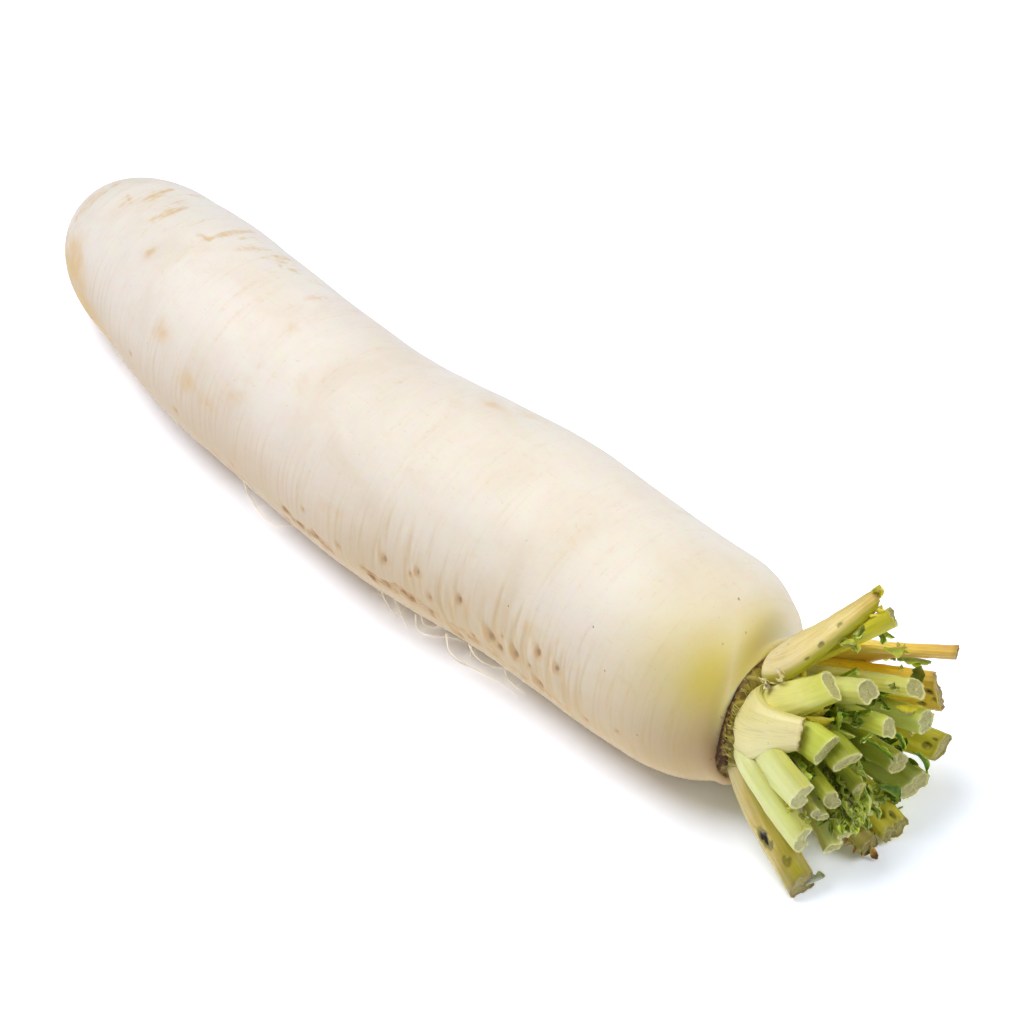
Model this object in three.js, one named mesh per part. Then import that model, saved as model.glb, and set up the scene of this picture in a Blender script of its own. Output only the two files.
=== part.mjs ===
// A daikon radish as picked, lying on its side with its leaves cut off short.
// Millimetres, +Z up, +X from the tail to the crown. The origin is on the ground,
// under the middle of the whole radish.
import * as THREE from "three";

// Driving dimensions of the root.
const ROOT_LENGTH = 353;
const RIM_X = 176;
const TAIL_X = RIM_X - ROOT_LENGTH;
const TAIL_DOME = 48;
const TAIL_BLUNTNESS = 2.5;
const SHOULDER = 30;
const SHOULDER_END = 0.68;
const CONTACT_DEPTH = 0.5;
const ROOT_RINGS = 34;
const ROOT_SIDES = 28;
const END_CROWDING = 0.55;
const TIP_INSET = 0.4;

// The root's girth and sideways bend: place along the root, radius, sideways shift of its middle.
const ROOT_STATIONS = [
  { x: -177, radius: 28.3, side: 4.2 },
  { x: -128, radius: 31.8, side: 0.6 },
  { x: -96, radius: 35.3, side: -4.4 },
  { x: -63, radius: 36.5, side: -7.6 },
  { x: -31, radius: 36.2, side: -8.5 },
  { x: 2, radius: 37.2, side: -9.6 },
  { x: 34, radius: 38.9, side: -7.4 },
  { x: 67, radius: 39.4, side: -3 },
  { x: 99, radius: 38.5, side: -0.3 },
  { x: 132, radius: 38, side: 0.9 },
  { x: 176, radius: 37.3, side: 4.6 },
];

// The crown: a low dome that carries the stalks, inside the root's rim. It faces forward, a little
// to the far side and a little up, and the end of the root turns with it.
const CROWN = { middle: new THREE.Vector3(RIM_X, 3.8, 38), radius: 24, height: 12 };
const CROWN_YAW = THREE.MathUtils.degToRad(10);
const CROWN_LIFT = THREE.MathUtils.degToRad(3.5);
const CROWN_BEND = 50;
const DOME_RINGS = [0.985, 0.9, 0.75, 0.5, 0.22];
const HEART = new THREE.Vector3(222, -1, 29);

// Clearance between a stalk and what it grows on.
const SEAM = 0.3;

const STALK_RINGS = 7;
const STALK_SIDES = 10;
const STALK_ARCH = 0.24;

// A stalk's outline: how far it bulges outside and inside its middle, and how deep its channel is,
// as shares of its thickness.
const OUTER_BULGE = 0.58;
const INNER_BULGE = 0.42;
const CHANNEL = 0.14;

// Each leaf stalk: where it grows on the crown (turn in degrees from the far side through the top,
// out from the crown's middle), where its cut end is, how wide it is at its base and at its cut end,
// and how thick it is.
const STALKS = [
  { turn: 97, out: 21, tip: [195, 27.5, 82.5], wide: [12.5, 8.6], thick: 6.5, tone: "straw" },
  { turn: 64, out: 18.5, tip: [205, 29, 80], wide: [8.5, 7.4], thick: 6, tone: "lime" },
  { turn: 26, out: 20, tip: [211, 55, 51], wide: [7, 3.6], thick: 3.4, tone: "withered" },
  { turn: 356, out: 20, tip: [213, 45, 42], wide: [8, 7], thick: 6, tone: "withered" },
  { turn: 42, out: 13.5, tip: [217, 28, 58], wide: [7.4, 7], thick: 6.2, tone: "pale_green" },
  { turn: 78, out: 11.5, tip: [211, 13, 63], wide: [8.8, 8], thick: 7, tone: "lime" },
  { turn: 124, out: 16.5, tip: [204, 4, 68], wide: [10.2, 9], thick: 7, tone: "lime" },
  { turn: 151, out: 20.5, tip: [204, -9, 56], wide: [11.5, 8.4], thick: 5.5, tone: "straw" },
  { turn: 138, out: 11, tip: [213, -7, 54], wide: [9, 9], thick: 6.4, tone: "leaf_green" },
  { turn: 112, out: 6.2, tip: [219, -4, 51], wide: [7.4, 7.8], thick: 5.6, tone: "leaf_green" },
  { turn: 50, out: 6.4, tip: [219, 14, 52], wide: [7, 6.4], thick: 6, tone: "pale_green" },
  { turn: 6, out: 12.5, tip: [221, 29, 46], wide: [7.8, 7.4], thick: 5.6, tone: "leaf_green" },
  { turn: 328, out: 19, tip: [221, 39.7, 26.7], wide: [8.6, 7.6], thick: 5.4, tone: "lime" },
  { turn: 324, out: 12, tip: [223, 25, 21.5], wide: [9, 9.4], thick: 6, tone: "leaf_green" },
  { turn: 343, out: 6, tip: [222, 16, 38], wide: [6, 6], thick: 5, tone: "leaf_green" },
  { turn: 176, out: 14, tip: [216.5, -19.8, 46], wide: [12.4, 11], thick: 6.6, tone: "pale_green" },
  { turn: 182, out: 20.8, tip: [217, -18, 25], wide: [11, 9.6], thick: 7.4, tone: "pale_green" },
  { turn: 212, out: 21.5, tip: [219, -18, 5.5], wide: [9.8, 9], thick: 8.4, tone: "straw" },
  { turn: 196, out: 7.5, tip: [219, -8.6, 38], wide: [6.8, 6.8], thick: 5.4, tone: "leaf_green" },
  { turn: 165, out: 2.8, tip: [221, 1, 37], wide: [4, 4.6], thick: 3.4, tone: "leaf_green" },
  { turn: 216, out: 11, tip: [217, -12, 32], wide: [5.4, 5.4], thick: 4, tone: "pale_green" },
  { turn: 247, out: 13, tip: [219, -6, 13], wide: [6.2, 6.4], thick: 5, tone: "pale_green" },
  { turn: 268, out: 19.5, tip: [222, 8, 5.5], wide: [7, 6.2], thick: 5, tone: "lime" },
  { turn: 298, out: 19.5, tip: [223, 18, 6], wide: [9.4, 8.6], thick: 5.6, tone: "lime" },
  { turn: 260, out: 6, tip: [221, -3, 19], wide: [5.4, 5.8], thick: 4.4, tone: "leaf_green" },
  { turn: 285, out: 11.5, tip: [222, 13, 13], wide: [6.2, 6.4], thick: 4.6, tone: "pale_green" },
];

// The young leaves in the heart: where each grows and where its curled end is.
const HEART_LEAVES = [
  { turn: 0, out: 1, tip: [223, -0.5, 28.6] },
  { turn: 40, out: 2.6, tip: [222, 3.5, 31.5] },
  { turn: 330, out: 2.6, tip: [222, 5, 25.5] },
  { turn: 285, out: 3, tip: [221, 0, 23.5] },
  { turn: 240, out: 3.6, tip: [221, -5, 26.2] },
  { turn: 230, out: 1.8, tip: [221, -3, 30.6] },
];
const HEART_LEAF = { wide: 4.2, thick: 1, cup: 0.9, rings: 6, sides: 8 };

// Scraps of torn leaf blade: both ends, how far the middle bulges out, its width and its colour.
const SCRAPS = [
  { from: [195.6, 29.2, 86.6], to: [198.4, 28, 91], bulge: 1, wide: 4, tone: "lime" },
  { from: [199, 16.5, 77], to: [203, 16.5, 85], bulge: 1, wide: 4, tone: "dark_green" },
  { from: [205, 25, 71], to: [208, 31, 69], bulge: -1, wide: 4.5, tone: "lime" },
  { from: [202, 36, 56], to: [211, 42, 57], bulge: 1, wide: 5, tone: "withered" },
  { from: [213, 34, 54], to: [214, 33, 64], bulge: 1, wide: 4.5, tone: "leaf_green" },
  { from: [213, 24, 51], to: [218, 31, 50], bulge: 1, wide: 4, tone: "lime" },
  { from: [200, -4, 56.8], to: [207, 2, 56.5], bulge: 0.4, wide: 3, tone: "lime" },
  { from: [217, 18, 47], to: [222, 21, 39], bulge: 2, wide: 3, tone: "dark_green" },
  { from: [221, 25, 36], to: [227, 28, 26], bulge: 3, wide: 3, tone: "dark_green" },
  { from: [219, 13, 27], to: [226, 20, 19], bulge: 2, wide: 5, tone: "dark_green" },
  { from: [208, 3, 51], to: [211, -1, 66], bulge: 1, wide: 2, tone: "dark_green" },
  { from: [208.5, 9.4, 50.6], to: [210.5, 7.4, 59.6], bulge: 1, wide: 2, tone: "dark_green" },
  { from: [212, 9, 45], to: [217, 8, 54], bulge: 1, wide: 2, tone: "dark_green" },
  { from: [214, 10, 47], to: [223.5, 13.5, 42], bulge: 1, wide: 2, tone: "dark_green" },
  { from: [220, -13, 3], to: [223, -11, 8], bulge: 1, wide: 4, tone: "pale_green" },
  { from: [223, 9, 3], to: [225, 8, 0.8], bulge: 0.5, wide: 2.4, tone: "withered" },
];
const SCRAP = { thick: 0.7, cup: 0.4, rings: 6, sides: 8 };

// Side rootlets: each leaves the underside of the root and trails on the ground.
const ROOTLETS = [
  [[29, -22, 1.2], [33, -27, 1], [40, -31, 0.5], [47, -34, 0.4]],
  [[28, -30, 5.4], [33, -32, 2.5], [41, -33.5, 0.5]],
  [[47, -30, 4.2], [50, -32, 0.8], [56, -30, 0.4], [61, -26, 0.4], [66, -24, 0.5]],
  [[44, -26, 4], [50, -29, 1.2], [53, -27.5, 0.5], [54, -25, 0.5], [59, -21, 0.5], [66, -17, 0.5]],
  [[70, -24, 4], [71, -26, 1.5], [73, -28, 0.5]],
  [[73, -29, 8.6], [76, -28, 4], [80, -25, 0.6], [84, -22, 0.5], [88, -18, 0.5]],
  [[64, -31, 8.4], [68, -33, 4], [74, -31, 1.1], [83, -28.5, 0.4], [90, -27.5, 0.4], [96, -28, 0.4]],
  [[84, -22.5, 4], [87, -24.5, 1], [92, -25, 0.4], [97, -25, 0.4]],
  [[88, -20, 2.4], [91, -21.5, 0.7], [96, -21, 0.4]],
  [[-47, -30.5, 5.2], [-40, -33, 1.2], [-32, -35, 0.6], [-28, -36, 0.4], [-22, -35, 0.4], [-17, -31, 0.4]],
];
const ROOTLET = { radius: 0.35, rings: 11, sides: 5 };

const TONES = {
  root: 0xf2eadd,
  straw: 0xe9e0a8,
  withered: 0xd9a83f,
  lime: 0xc3d06a,
  pale_green: 0xb4c98a,
  leaf_green: 0x8fb356,
  dark_green: 0x3f6a33,
  rootlet: 0xe6dccb,
};

function finish(tone) {
  return new THREE.MeshStandardMaterial({ color: TONES[tone], roughness: 0.5, metalness: 0 });
}

// A closed skin over a list of rings with the same number of points, with a fan over each end.
function loft(rings) {
  const sides = rings[0].length;
  const points = rings.flat();
  const faces = [];
  for (let ring = 0; ring < rings.length - 1; ring++) {
    for (let side = 0; side < sides; side++) {
      const here = ring * sides + side;
      const beside = ring * sides + ((side + 1) % sides);
      faces.push(here, beside, here + sides, beside, beside + sides, here + sides);
    }
  }
  const last = (rings.length - 1) * sides;
  const startMiddle = points.push(middleOf(rings[0])) - 1;
  const endMiddle = points.push(middleOf(rings[rings.length - 1])) - 1;
  for (let side = 0; side < sides; side++) {
    const beside = (side + 1) % sides;
    faces.push(startMiddle, beside, side);
    faces.push(endMiddle, last + side, last + beside);
  }
  const skin = new THREE.BufferGeometry();
  skin.setAttribute("position", new THREE.Float32BufferAttribute(points.flatMap((p) => p.toArray()), 3));
  skin.setIndex(faces);
  skin.computeVertexNormals();
  return skin;
}

function middleOf(ring) {
  const sum = ring.reduce((total, point) => total.add(point), new THREE.Vector3());
  return sum.divideScalar(ring.length);
}

// A smooth value along the root between its stations.
function alongRoot(key) {
  const points = ROOT_STATIONS.map((station) => new THREE.Vector2(station.x, station[key]));
  const curve = new THREE.SplineCurve(points);
  return (x) => curve.getPoint(stationFraction(x)).y;
}

function stationFraction(x) {
  const spans = ROOT_STATIONS.length - 1;
  const span = Math.min(Math.max(ROOT_STATIONS.findIndex((station) => station.x > x) - 1, 0), spans - 1);
  const start = ROOT_STATIONS[span].x;
  const fraction = (x - start) / (ROOT_STATIONS[span + 1].x - start);
  return (span + Math.min(fraction, 1)) / spans;
}

const girth = alongRoot("radius");
const sideShift = alongRoot("side");

// The root narrows to a round tail at one end and rolls over its shoulder at the other.
function rootRadius(x) {
  const tail = Math.min((x - TAIL_X) / TAIL_DOME, 1);
  const rounded = Math.sqrt(1 - (1 - tail) ** TAIL_BLUNTNESS);
  const shoulder = Math.max((x - (RIM_X - SHOULDER)) / SHOULDER, 0);
  const rolled = Math.sqrt(1 - shoulder ** 2 * (1 - SHOULDER_END ** 2));
  return girth(x) * rounded * rolled;
}

// The height of the crown's dome above its rim plane, at a distance from its middle.
const domeHeight = (out) => CROWN.height * Math.sqrt(Math.max(1 - (out / CROWN.radius) ** 2, 0));

// How the root's cross-section is turned at a place along it: not at all, then towards the crown's way.
function turnAt(x) {
  const share = THREE.MathUtils.smoothstep(x, RIM_X - CROWN_BEND, RIM_X);
  return new THREE.Euler(0, -CROWN_LIFT * share, CROWN_YAW * share, "ZYX");
}

// A ring of points that starts half a step round, so that its lowest side is level.
function circle(centre, radius, turn) {
  return Array.from({ length: ROOT_SIDES }, (_, side) => {
    const angle = (2 * Math.PI * (side + 0.5)) / ROOT_SIDES;
    const point = new THREE.Vector3(0, radius * Math.cos(angle), radius * Math.sin(angle));
    point.applyEuler(turn).add(centre);
    return point.setZ(Math.max(point.z, 0));
  });
}

// Places along the root, from just inside the tail's tip to the rim, closer together at both ends.
function ringPlaces() {
  return Array.from({ length: ROOT_RINGS }, (_, ring) => {
    const even = (ring + TIP_INSET) / (ROOT_RINGS - 1 + TIP_INSET);
    const crowded = (1 - Math.cos(Math.PI * even)) / 2;
    return THREE.MathUtils.lerp(TAIL_X, RIM_X, THREE.MathUtils.lerp(even, crowded, END_CROWDING));
  });
}

// The root and its crown in one skin: body rings, then the rings of the dome. Its underside is
// pressed flat where it lies on the ground.
function rootGeometry() {
  const rings = ringPlaces().map((x) => {
    const centre = new THREE.Vector3(x, sideShift(x), girth(x) - CONTACT_DEPTH);
    return circle(centre, rootRadius(x), turnAt(x));
  });
  for (const share of DOME_RINGS) {
    const out = CROWN.radius * share;
    const centre = new THREE.Vector3(domeHeight(out), 0, 0).applyEuler(turnAt(RIM_X)).add(CROWN.middle);
    rings.push(circle(centre, out, turnAt(RIM_X)));
  }
  return loft(rings);
}

// The outline of a stalk: round outside, with a shallow channel on the side that faces the heart.
function stalkSection(wide, thick) {
  return Array.from({ length: STALK_SIDES }, (_, side) => {
    const angle = (2 * Math.PI * side) / STALK_SIDES;
    const rise = Math.sin(angle);
    const lift = rise > 0 ? OUTER_BULGE * rise : INNER_BULGE * rise - CHANNEL * rise ** 3;
    return new THREE.Vector2((wide / 2) * Math.cos(angle), thick * lift);
  });
}

// Rings along a path: a section at each step, turned so that its outer side faces outward.
function sweepRings(path, outward, sectionAt, steps) {
  return Array.from({ length: steps }, (_, step) => {
    const share = step / (steps - 1);
    const ahead = path.getTangent(share);
    const up = outward.clone().addScaledVector(ahead, -outward.dot(ahead)).normalize();
    const across = new THREE.Vector3().crossVectors(up, ahead);
    const centre = path.getPoint(share);
    return sectionAt(share).map((point) =>
      centre.clone().addScaledVector(across, point.x).addScaledVector(up, point.y));
  });
}

// A place on the crown's dome and the direction that its surface faces there.
function crownSeat(turn, out) {
  const angle = THREE.MathUtils.degToRad(turn);
  const forward = new THREE.Vector3(1, 0, 0).applyEuler(turnAt(RIM_X));
  const radial = new THREE.Vector3(0, Math.cos(angle), Math.sin(angle)).applyEuler(turnAt(RIM_X));
  const height = domeHeight(out);
  const facing = forward.clone().multiplyScalar(height / CROWN.height ** 2);
  facing.addScaledVector(radial, out / CROWN.radius ** 2).normalize();
  const seat = CROWN.middle.clone().addScaledVector(forward, height);
  seat.addScaledVector(radial, out).addScaledVector(facing, SEAM);
  return { seat, facing, radial };
}

// A stalk leaves the crown square to its surface and bends over towards its cut end.
function stalkGeometry({ turn, out, tip, wide, thick }) {
  const { seat, facing, radial } = crownSeat(turn, out);
  const end = new THREE.Vector3(...tip);
  const reach = seat.distanceTo(end);
  const bend = seat.clone().addScaledVector(facing, reach * STALK_ARCH);
  const path = new THREE.QuadraticBezierCurve3(seat, bend, end);
  const [baseWide, endWide] = wide;
  const sectionAt = (share) => stalkSection(THREE.MathUtils.lerp(baseWide, endWide, share), thick);
  return loft(sweepRings(path, radial, sectionAt, STALK_RINGS));
}

// A thin blade's outline, cupped so that its edges lean to one side.
function bladeSection(wide, thick, cup, sides) {
  return Array.from({ length: sides }, (_, side) => {
    const angle = (2 * Math.PI * side) / sides;
    const lean = cup * (Math.cos(angle) ** 2 - 0.5);
    return new THREE.Vector2((wide / 2) * Math.cos(angle), (thick / 2) * Math.sin(angle) - lean);
  });
}

// A young leaf: a narrow stem at the crown that widens into a cupped, curled end.
function heartLeafGeometry({ turn, out, tip }) {
  const { seat, facing, radial } = crownSeat(turn, out);
  const end = new THREE.Vector3(...tip);
  const bend = seat.clone().addScaledVector(facing, seat.distanceTo(end) / 2);
  const path = new THREE.QuadraticBezierCurve3(seat, bend, end);
  const { wide, thick, cup, rings, sides } = HEART_LEAF;
  const widthAt = (share) => wide * (0.35 + 0.65 * share ** 2);
  const sectionAt = (share) => bladeSection(widthAt(share), thick, cup * share, sides);
  return loft(sweepRings(path, radial, sectionAt, rings));
}

// A scrap of blade, widest in the middle and blunt at both ends. It bulges away from the heart.
function scrapGeometry({ from, to, bulge, wide }) {
  const start = new THREE.Vector3(...from);
  const end = new THREE.Vector3(...to);
  const bend = start.clone().lerp(end, 0.5);
  const outward = bend.clone().sub(HEART).setX(0).normalize();
  bend.addScaledVector(outward, bulge);
  const path = new THREE.QuadraticBezierCurve3(start, bend, end);
  const { thick, cup, rings, sides } = SCRAP;
  const widthAt = (share) => wide * (0.25 + 0.75 * Math.sin(Math.PI * share));
  const sectionAt = (share) => bladeSection(widthAt(share), thick, cup, sides);
  return loft(sweepRings(path, outward, sectionAt, rings));
}

function rootletGeometry(points) {
  const path = new THREE.CatmullRomCurve3(points.map((point) => new THREE.Vector3(...point)));
  const { radius, rings, sides } = ROOTLET;
  const sectionAt = () => bladeSection(2 * radius, 2 * radius, 0, sides);
  return loft(sweepRings(path, new THREE.Vector3(0, 0, 1), sectionAt, rings));
}

const radish = new THREE.Group();

function addPiece(name, geometry, tone) {
  const piece = new THREE.Mesh(geometry, finish(tone));
  piece.name = name;
  radish.add(piece);
}

const numbered = (name, index) => `${name}_${String(index + 1).padStart(2, "0")}`;

addPiece("storage_root", rootGeometry(), "root");
STALKS.forEach((stalk, index) => addPiece(numbered("leaf_stalk", index), stalkGeometry(stalk), stalk.tone));
HEART_LEAVES.forEach((leaf, index) => {
  addPiece(numbered("heart_leaf", index), heartLeafGeometry(leaf), "leaf_green");
});
SCRAPS.forEach((scrap, index) => addPiece(numbered("leaf_scrap", index), scrapGeometry(scrap), scrap.tone));
ROOTLETS.forEach((points, index) => addPiece(numbered("rootlet", index), rootletGeometry(points), "rootlet"));

// The origin goes under the middle of the radish, on the ground.
const box = new THREE.Box3().setFromObject(radish);
const middle = box.getCenter(new THREE.Vector3());
radish.position.set(-middle.x, -middle.y, 0);

export default radish;
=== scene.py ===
"""The looks of a daikon radish as picked, lying on its side with its leaves cut off short.

Lengths are in millimetres until a mesh is made. A turn is an angle in degrees round the root or
its crown, from the far side (+Y) through the top. A share runs from 0 to 1.
"""

import math

import bmesh
import bpy
import numpy as np
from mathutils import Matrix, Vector


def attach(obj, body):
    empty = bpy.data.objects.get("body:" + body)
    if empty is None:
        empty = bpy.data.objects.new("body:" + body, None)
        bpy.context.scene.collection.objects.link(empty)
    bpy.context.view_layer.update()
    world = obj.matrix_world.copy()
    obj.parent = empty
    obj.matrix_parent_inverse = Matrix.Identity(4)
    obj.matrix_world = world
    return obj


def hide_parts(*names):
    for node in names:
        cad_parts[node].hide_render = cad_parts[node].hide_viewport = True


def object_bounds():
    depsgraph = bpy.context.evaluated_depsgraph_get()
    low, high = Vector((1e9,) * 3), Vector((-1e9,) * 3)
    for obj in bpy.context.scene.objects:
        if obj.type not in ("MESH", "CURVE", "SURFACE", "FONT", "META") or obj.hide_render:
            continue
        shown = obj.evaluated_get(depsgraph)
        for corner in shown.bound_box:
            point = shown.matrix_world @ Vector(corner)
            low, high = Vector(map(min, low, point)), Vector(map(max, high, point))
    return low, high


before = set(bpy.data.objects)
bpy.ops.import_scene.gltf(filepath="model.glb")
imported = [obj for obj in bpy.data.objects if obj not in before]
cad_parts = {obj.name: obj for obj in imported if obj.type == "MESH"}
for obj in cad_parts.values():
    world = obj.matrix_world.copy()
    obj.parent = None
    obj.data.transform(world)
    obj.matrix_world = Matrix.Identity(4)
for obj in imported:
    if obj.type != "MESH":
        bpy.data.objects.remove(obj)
cad_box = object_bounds()

MM = 0.001
X, Y, Z = np.eye(3)


# ---- reading the CAD solids

def merged_mesh(node):
    """A CAD node's corners in millimetres, each place once, and its triangles."""
    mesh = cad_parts[node].data
    mesh.calc_loop_triangles()
    corners = np.array([vertex.co for vertex in mesh.vertices]) / MM
    triangles = np.array([triangle.vertices for triangle in mesh.loop_triangles])
    places, index = np.unique(corners.round(4), axis=0, return_inverse=True)
    return places, index.reshape(-1)[triangles]


def end_middles(places, triangles):
    """The corners in the middle of a sweep's two flat ends, the one with the smaller x first."""
    sides = places[triangles]
    normals = unit(np.cross(sides[:, 1] - sides[:, 0], sides[:, 2] - sides[:, 0]))
    total = np.zeros_like(places)
    np.add.at(total, triangles.ravel(), normals.repeat(3, axis=0))
    flatness = np.linalg.norm(total, axis=1) / np.bincount(triangles.ravel())
    return sorted(np.argsort(flatness)[-2:], key=lambda corner: places[corner, 0])


def walked(level, neighbours):
    """One ring's corners in order, each next to the one before."""
    order = [min(level)]
    while len(order) < len(level):
        order.append(min(neighbours[order[-1]] & (level - set(order))))
    return order


def lined_up(rings):
    """The same rings, with each one's start and direction matched to the ring before it."""
    matched = [rings[0]]
    for ring in rings[1:]:
        before = matched[-1] - matched[-1].mean(axis=0)
        ways = [np.roll(way, shift, axis=0) for way in (ring, ring[::-1]) for shift in range(len(ring))]
        matched.append(min(ways, key=lambda way: np.sum((way - way.mean(axis=0) - before) ** 2)))
    return np.array(matched)


def sweep_rings(node):
    """The rings of corners that a swept CAD solid is made of, from its end with the smaller x."""
    places, triangles = merged_mesh(node)
    start, end = end_middles(places, triangles)
    neighbours = [set() for _ in places]
    for triangle in triangles:
        for corner in triangle:
            neighbours[corner].update(triangle)
    rings = []
    done = {start}
    level = neighbours[start] - done
    while end not in level:
        rings.append(places[walked(level, neighbours)])
        done |= level
        level = set().union(*(neighbours[corner] for corner in level)) - done
    return lined_up(rings)


# ---- numbers and curves

def unit(vectors):
    return vectors / np.linalg.norm(vectors, axis=-1, keepdims=True)


def dot(first, second):
    return np.sum(first * second, axis=-1, keepdims=True)


def bell(distance, width):
    """1 where the distance is 0, falling smoothly to nothing at about two widths."""
    return np.exp(-((distance / width) ** 2))


def ease(value, start, end):
    """A smooth step from 0 at start to 1 at end."""
    share = np.clip((value - start) / (end - start), 0, 1)
    return share * share * (3 - 2 * share)


def turn_gap(turn, other):
    """Degrees from one turn to another, the short way round, with a sign."""
    return (turn - other + 180) % 360 - 180


def facing(turn, middle, width):
    """1 at a middle turn, falling smoothly to nothing at about two widths to either side."""
    return bell(turn_gap(turn, middle), width)


def refine(values, places, closed=False):
    """Values at places between those of a list, on a smooth curve through them."""
    count = len(values)
    if closed:
        padded = np.concatenate([values[-1:], values, values[:2]])
        places = places % count
    else:
        first = 2 * values[:1] - values[1:2]
        last = 2 * values[-1:] - values[-2:-1]
        padded = np.concatenate([first, values, last])
        places = np.clip(places, 0, count - 1 - 1e-9)
    start = np.floor(places).astype(int)
    share = (places - start).reshape((-1,) + (1,) * (values.ndim - 1))
    before, here, after, beyond = (padded[start + step] for step in range(4))
    bend = 2 * before - 5 * here + 4 * after - beyond
    twist = 3 * here - 3 * after + beyond - before
    return here + 0.5 * share * ((after - before) + share * (bend + share * twist))


def gaps(points):
    """The distance from each point to the next."""
    return np.linalg.norm(np.diff(points, axis=0), axis=-1)


def even_places(points, count):
    """Places along a list of points that are the same distance apart."""
    travelled = np.concatenate([[0], np.cumsum(gaps(points))])
    return np.interp(np.linspace(0, travelled[-1], count), travelled, np.arange(len(points)))


# Large odd numbers that scatter a cell's three coordinates, a seed and their mixture.
SCATTER = (73856093, 19349663, 83492791, 2654435761, 1274126177)


def lattice(cells, seed):
    """A fixed random number between -1 and 1 for each cell of a grid."""
    x, y, z = (cells[..., axis].astype(np.int64) * SCATTER[axis] for axis in range(3))
    mixed = x ^ y ^ z ^ (seed * SCATTER[3])
    mixed = (mixed ^ (mixed >> 13)) * SCATTER[4] & 0xFFFFFFFF
    mixed = mixed ^ (mixed >> 16)
    return (mixed & 0xFFFF) / 32767.5 - 1


def wander(points, size, seed):
    """Smooth random values between -1 and 1 that change over about a size of millimetres."""
    scaled = points / size
    cell = np.floor(scaled).astype(int)
    share = scaled - cell
    share = share * share * (3 - 2 * share)
    total = 0
    for corner in np.ndindex(2, 2, 2):
        weight = np.prod(np.where(corner, share, 1 - share), axis=-1)
        total = total + weight * lattice(cell + corner, seed)
    return total


# ---- making pieces

# How gently points near the ground are pressed up from it, in mm.
PRESSED = 0.3

# A mix node's inputs for the share and for the two colours, and its output for a colour.
MIX_SHARE, MIX_FIRST, MIX_SECOND = 0, 6, 7
MIX_COLOUR = 2


def colour(code):
    """A web colour as the linear light that Blender works in."""
    levels = np.array([int(code[start:start + 2], 16) for start in (1, 3, 5)]) / 255
    return np.where(levels <= 0.04045, levels / 12.92, ((levels + 0.055) / 1.055) ** 2.4)


def skin(rings, **values):
    """A closed tube of rings: its shape, and its points' places and other values, its two ends last."""
    shape = rings.shape[:2]
    spread = {}
    for name, value in {"place": rings, **values}.items():
        value = np.asarray(value, float)
        wide = np.broadcast_to(value, shape + value.shape[2:])
        ends = [wide[0].mean(axis=0), wide[-1].mean(axis=0)]
        spread[name] = np.concatenate([wide.reshape((-1,) + wide.shape[2:]), ends])
    return shape, spread


def skin_faces(shape, first):
    """The faces of a tube of rings whose points start at a number, with a fan at each end."""
    index = first + np.arange(shape[0] * shape[1]).reshape(shape)
    beside = np.roll(index, -1, axis=1)
    quads = np.stack([index[:-1], beside[:-1], beside[1:], index[1:]], axis=-1).reshape(-1, 4)
    start = first + index.size
    fans = [(start, b, a) for a, b in zip(index[0], beside[0])]
    fans += [(start + 1, a, b) for a, b in zip(index[-1], beside[-1])]
    return quads.tolist() + fans


def make_piece(name, skins, finish, stands_for=()):
    """One object made of closed tubes, riding on the root, with the values of its skins."""
    faces, first = [], 0
    for shape, spread in skins:
        faces += skin_faces(shape, first)
        first += len(spread["place"])
    spreads = [spread for _, spread in skins]
    values = {key: np.concatenate([spread[key] for spread in spreads]) for key in spreads[0]}
    mesh = bpy.data.meshes.new(name)
    mesh.from_pydata((above_ground(values.pop("place")) * MM).tolist(), [], faces)
    for key, value in values.items():
        kind, field = ("FLOAT", "value") if value.ndim == 1 else ("FLOAT_VECTOR", "vector")
        mesh.attributes.new(key, kind, "POINT").data.foreach_set(field, value.astype(np.float32).ravel())
    face_outward(mesh)
    mesh.materials.append(finish)
    piece = bpy.data.objects.new(name, mesh)
    bpy.context.scene.collection.objects.link(piece)
    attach(piece, "root")
    if stands_for:
        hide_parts(*stands_for)


def above_ground(points):
    """The points, with those near the ground or below it pressed up gently to just above it."""
    height = points[:, 2]
    pressed = (height + np.hypot(height, PRESSED)) / 2
    return np.column_stack([points[:, :2], pressed])


def face_outward(mesh):
    """Turns a mesh's faces outward and shades it smoothly."""
    shell = bmesh.new()
    shell.from_mesh(mesh)
    bmesh.ops.recalc_face_normals(shell, faces=shell.faces)
    shell.to_mesh(mesh)
    shell.free()
    mesh.polygons.foreach_set("use_smooth", [True] * len(mesh.polygons))
    mesh.update()


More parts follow.
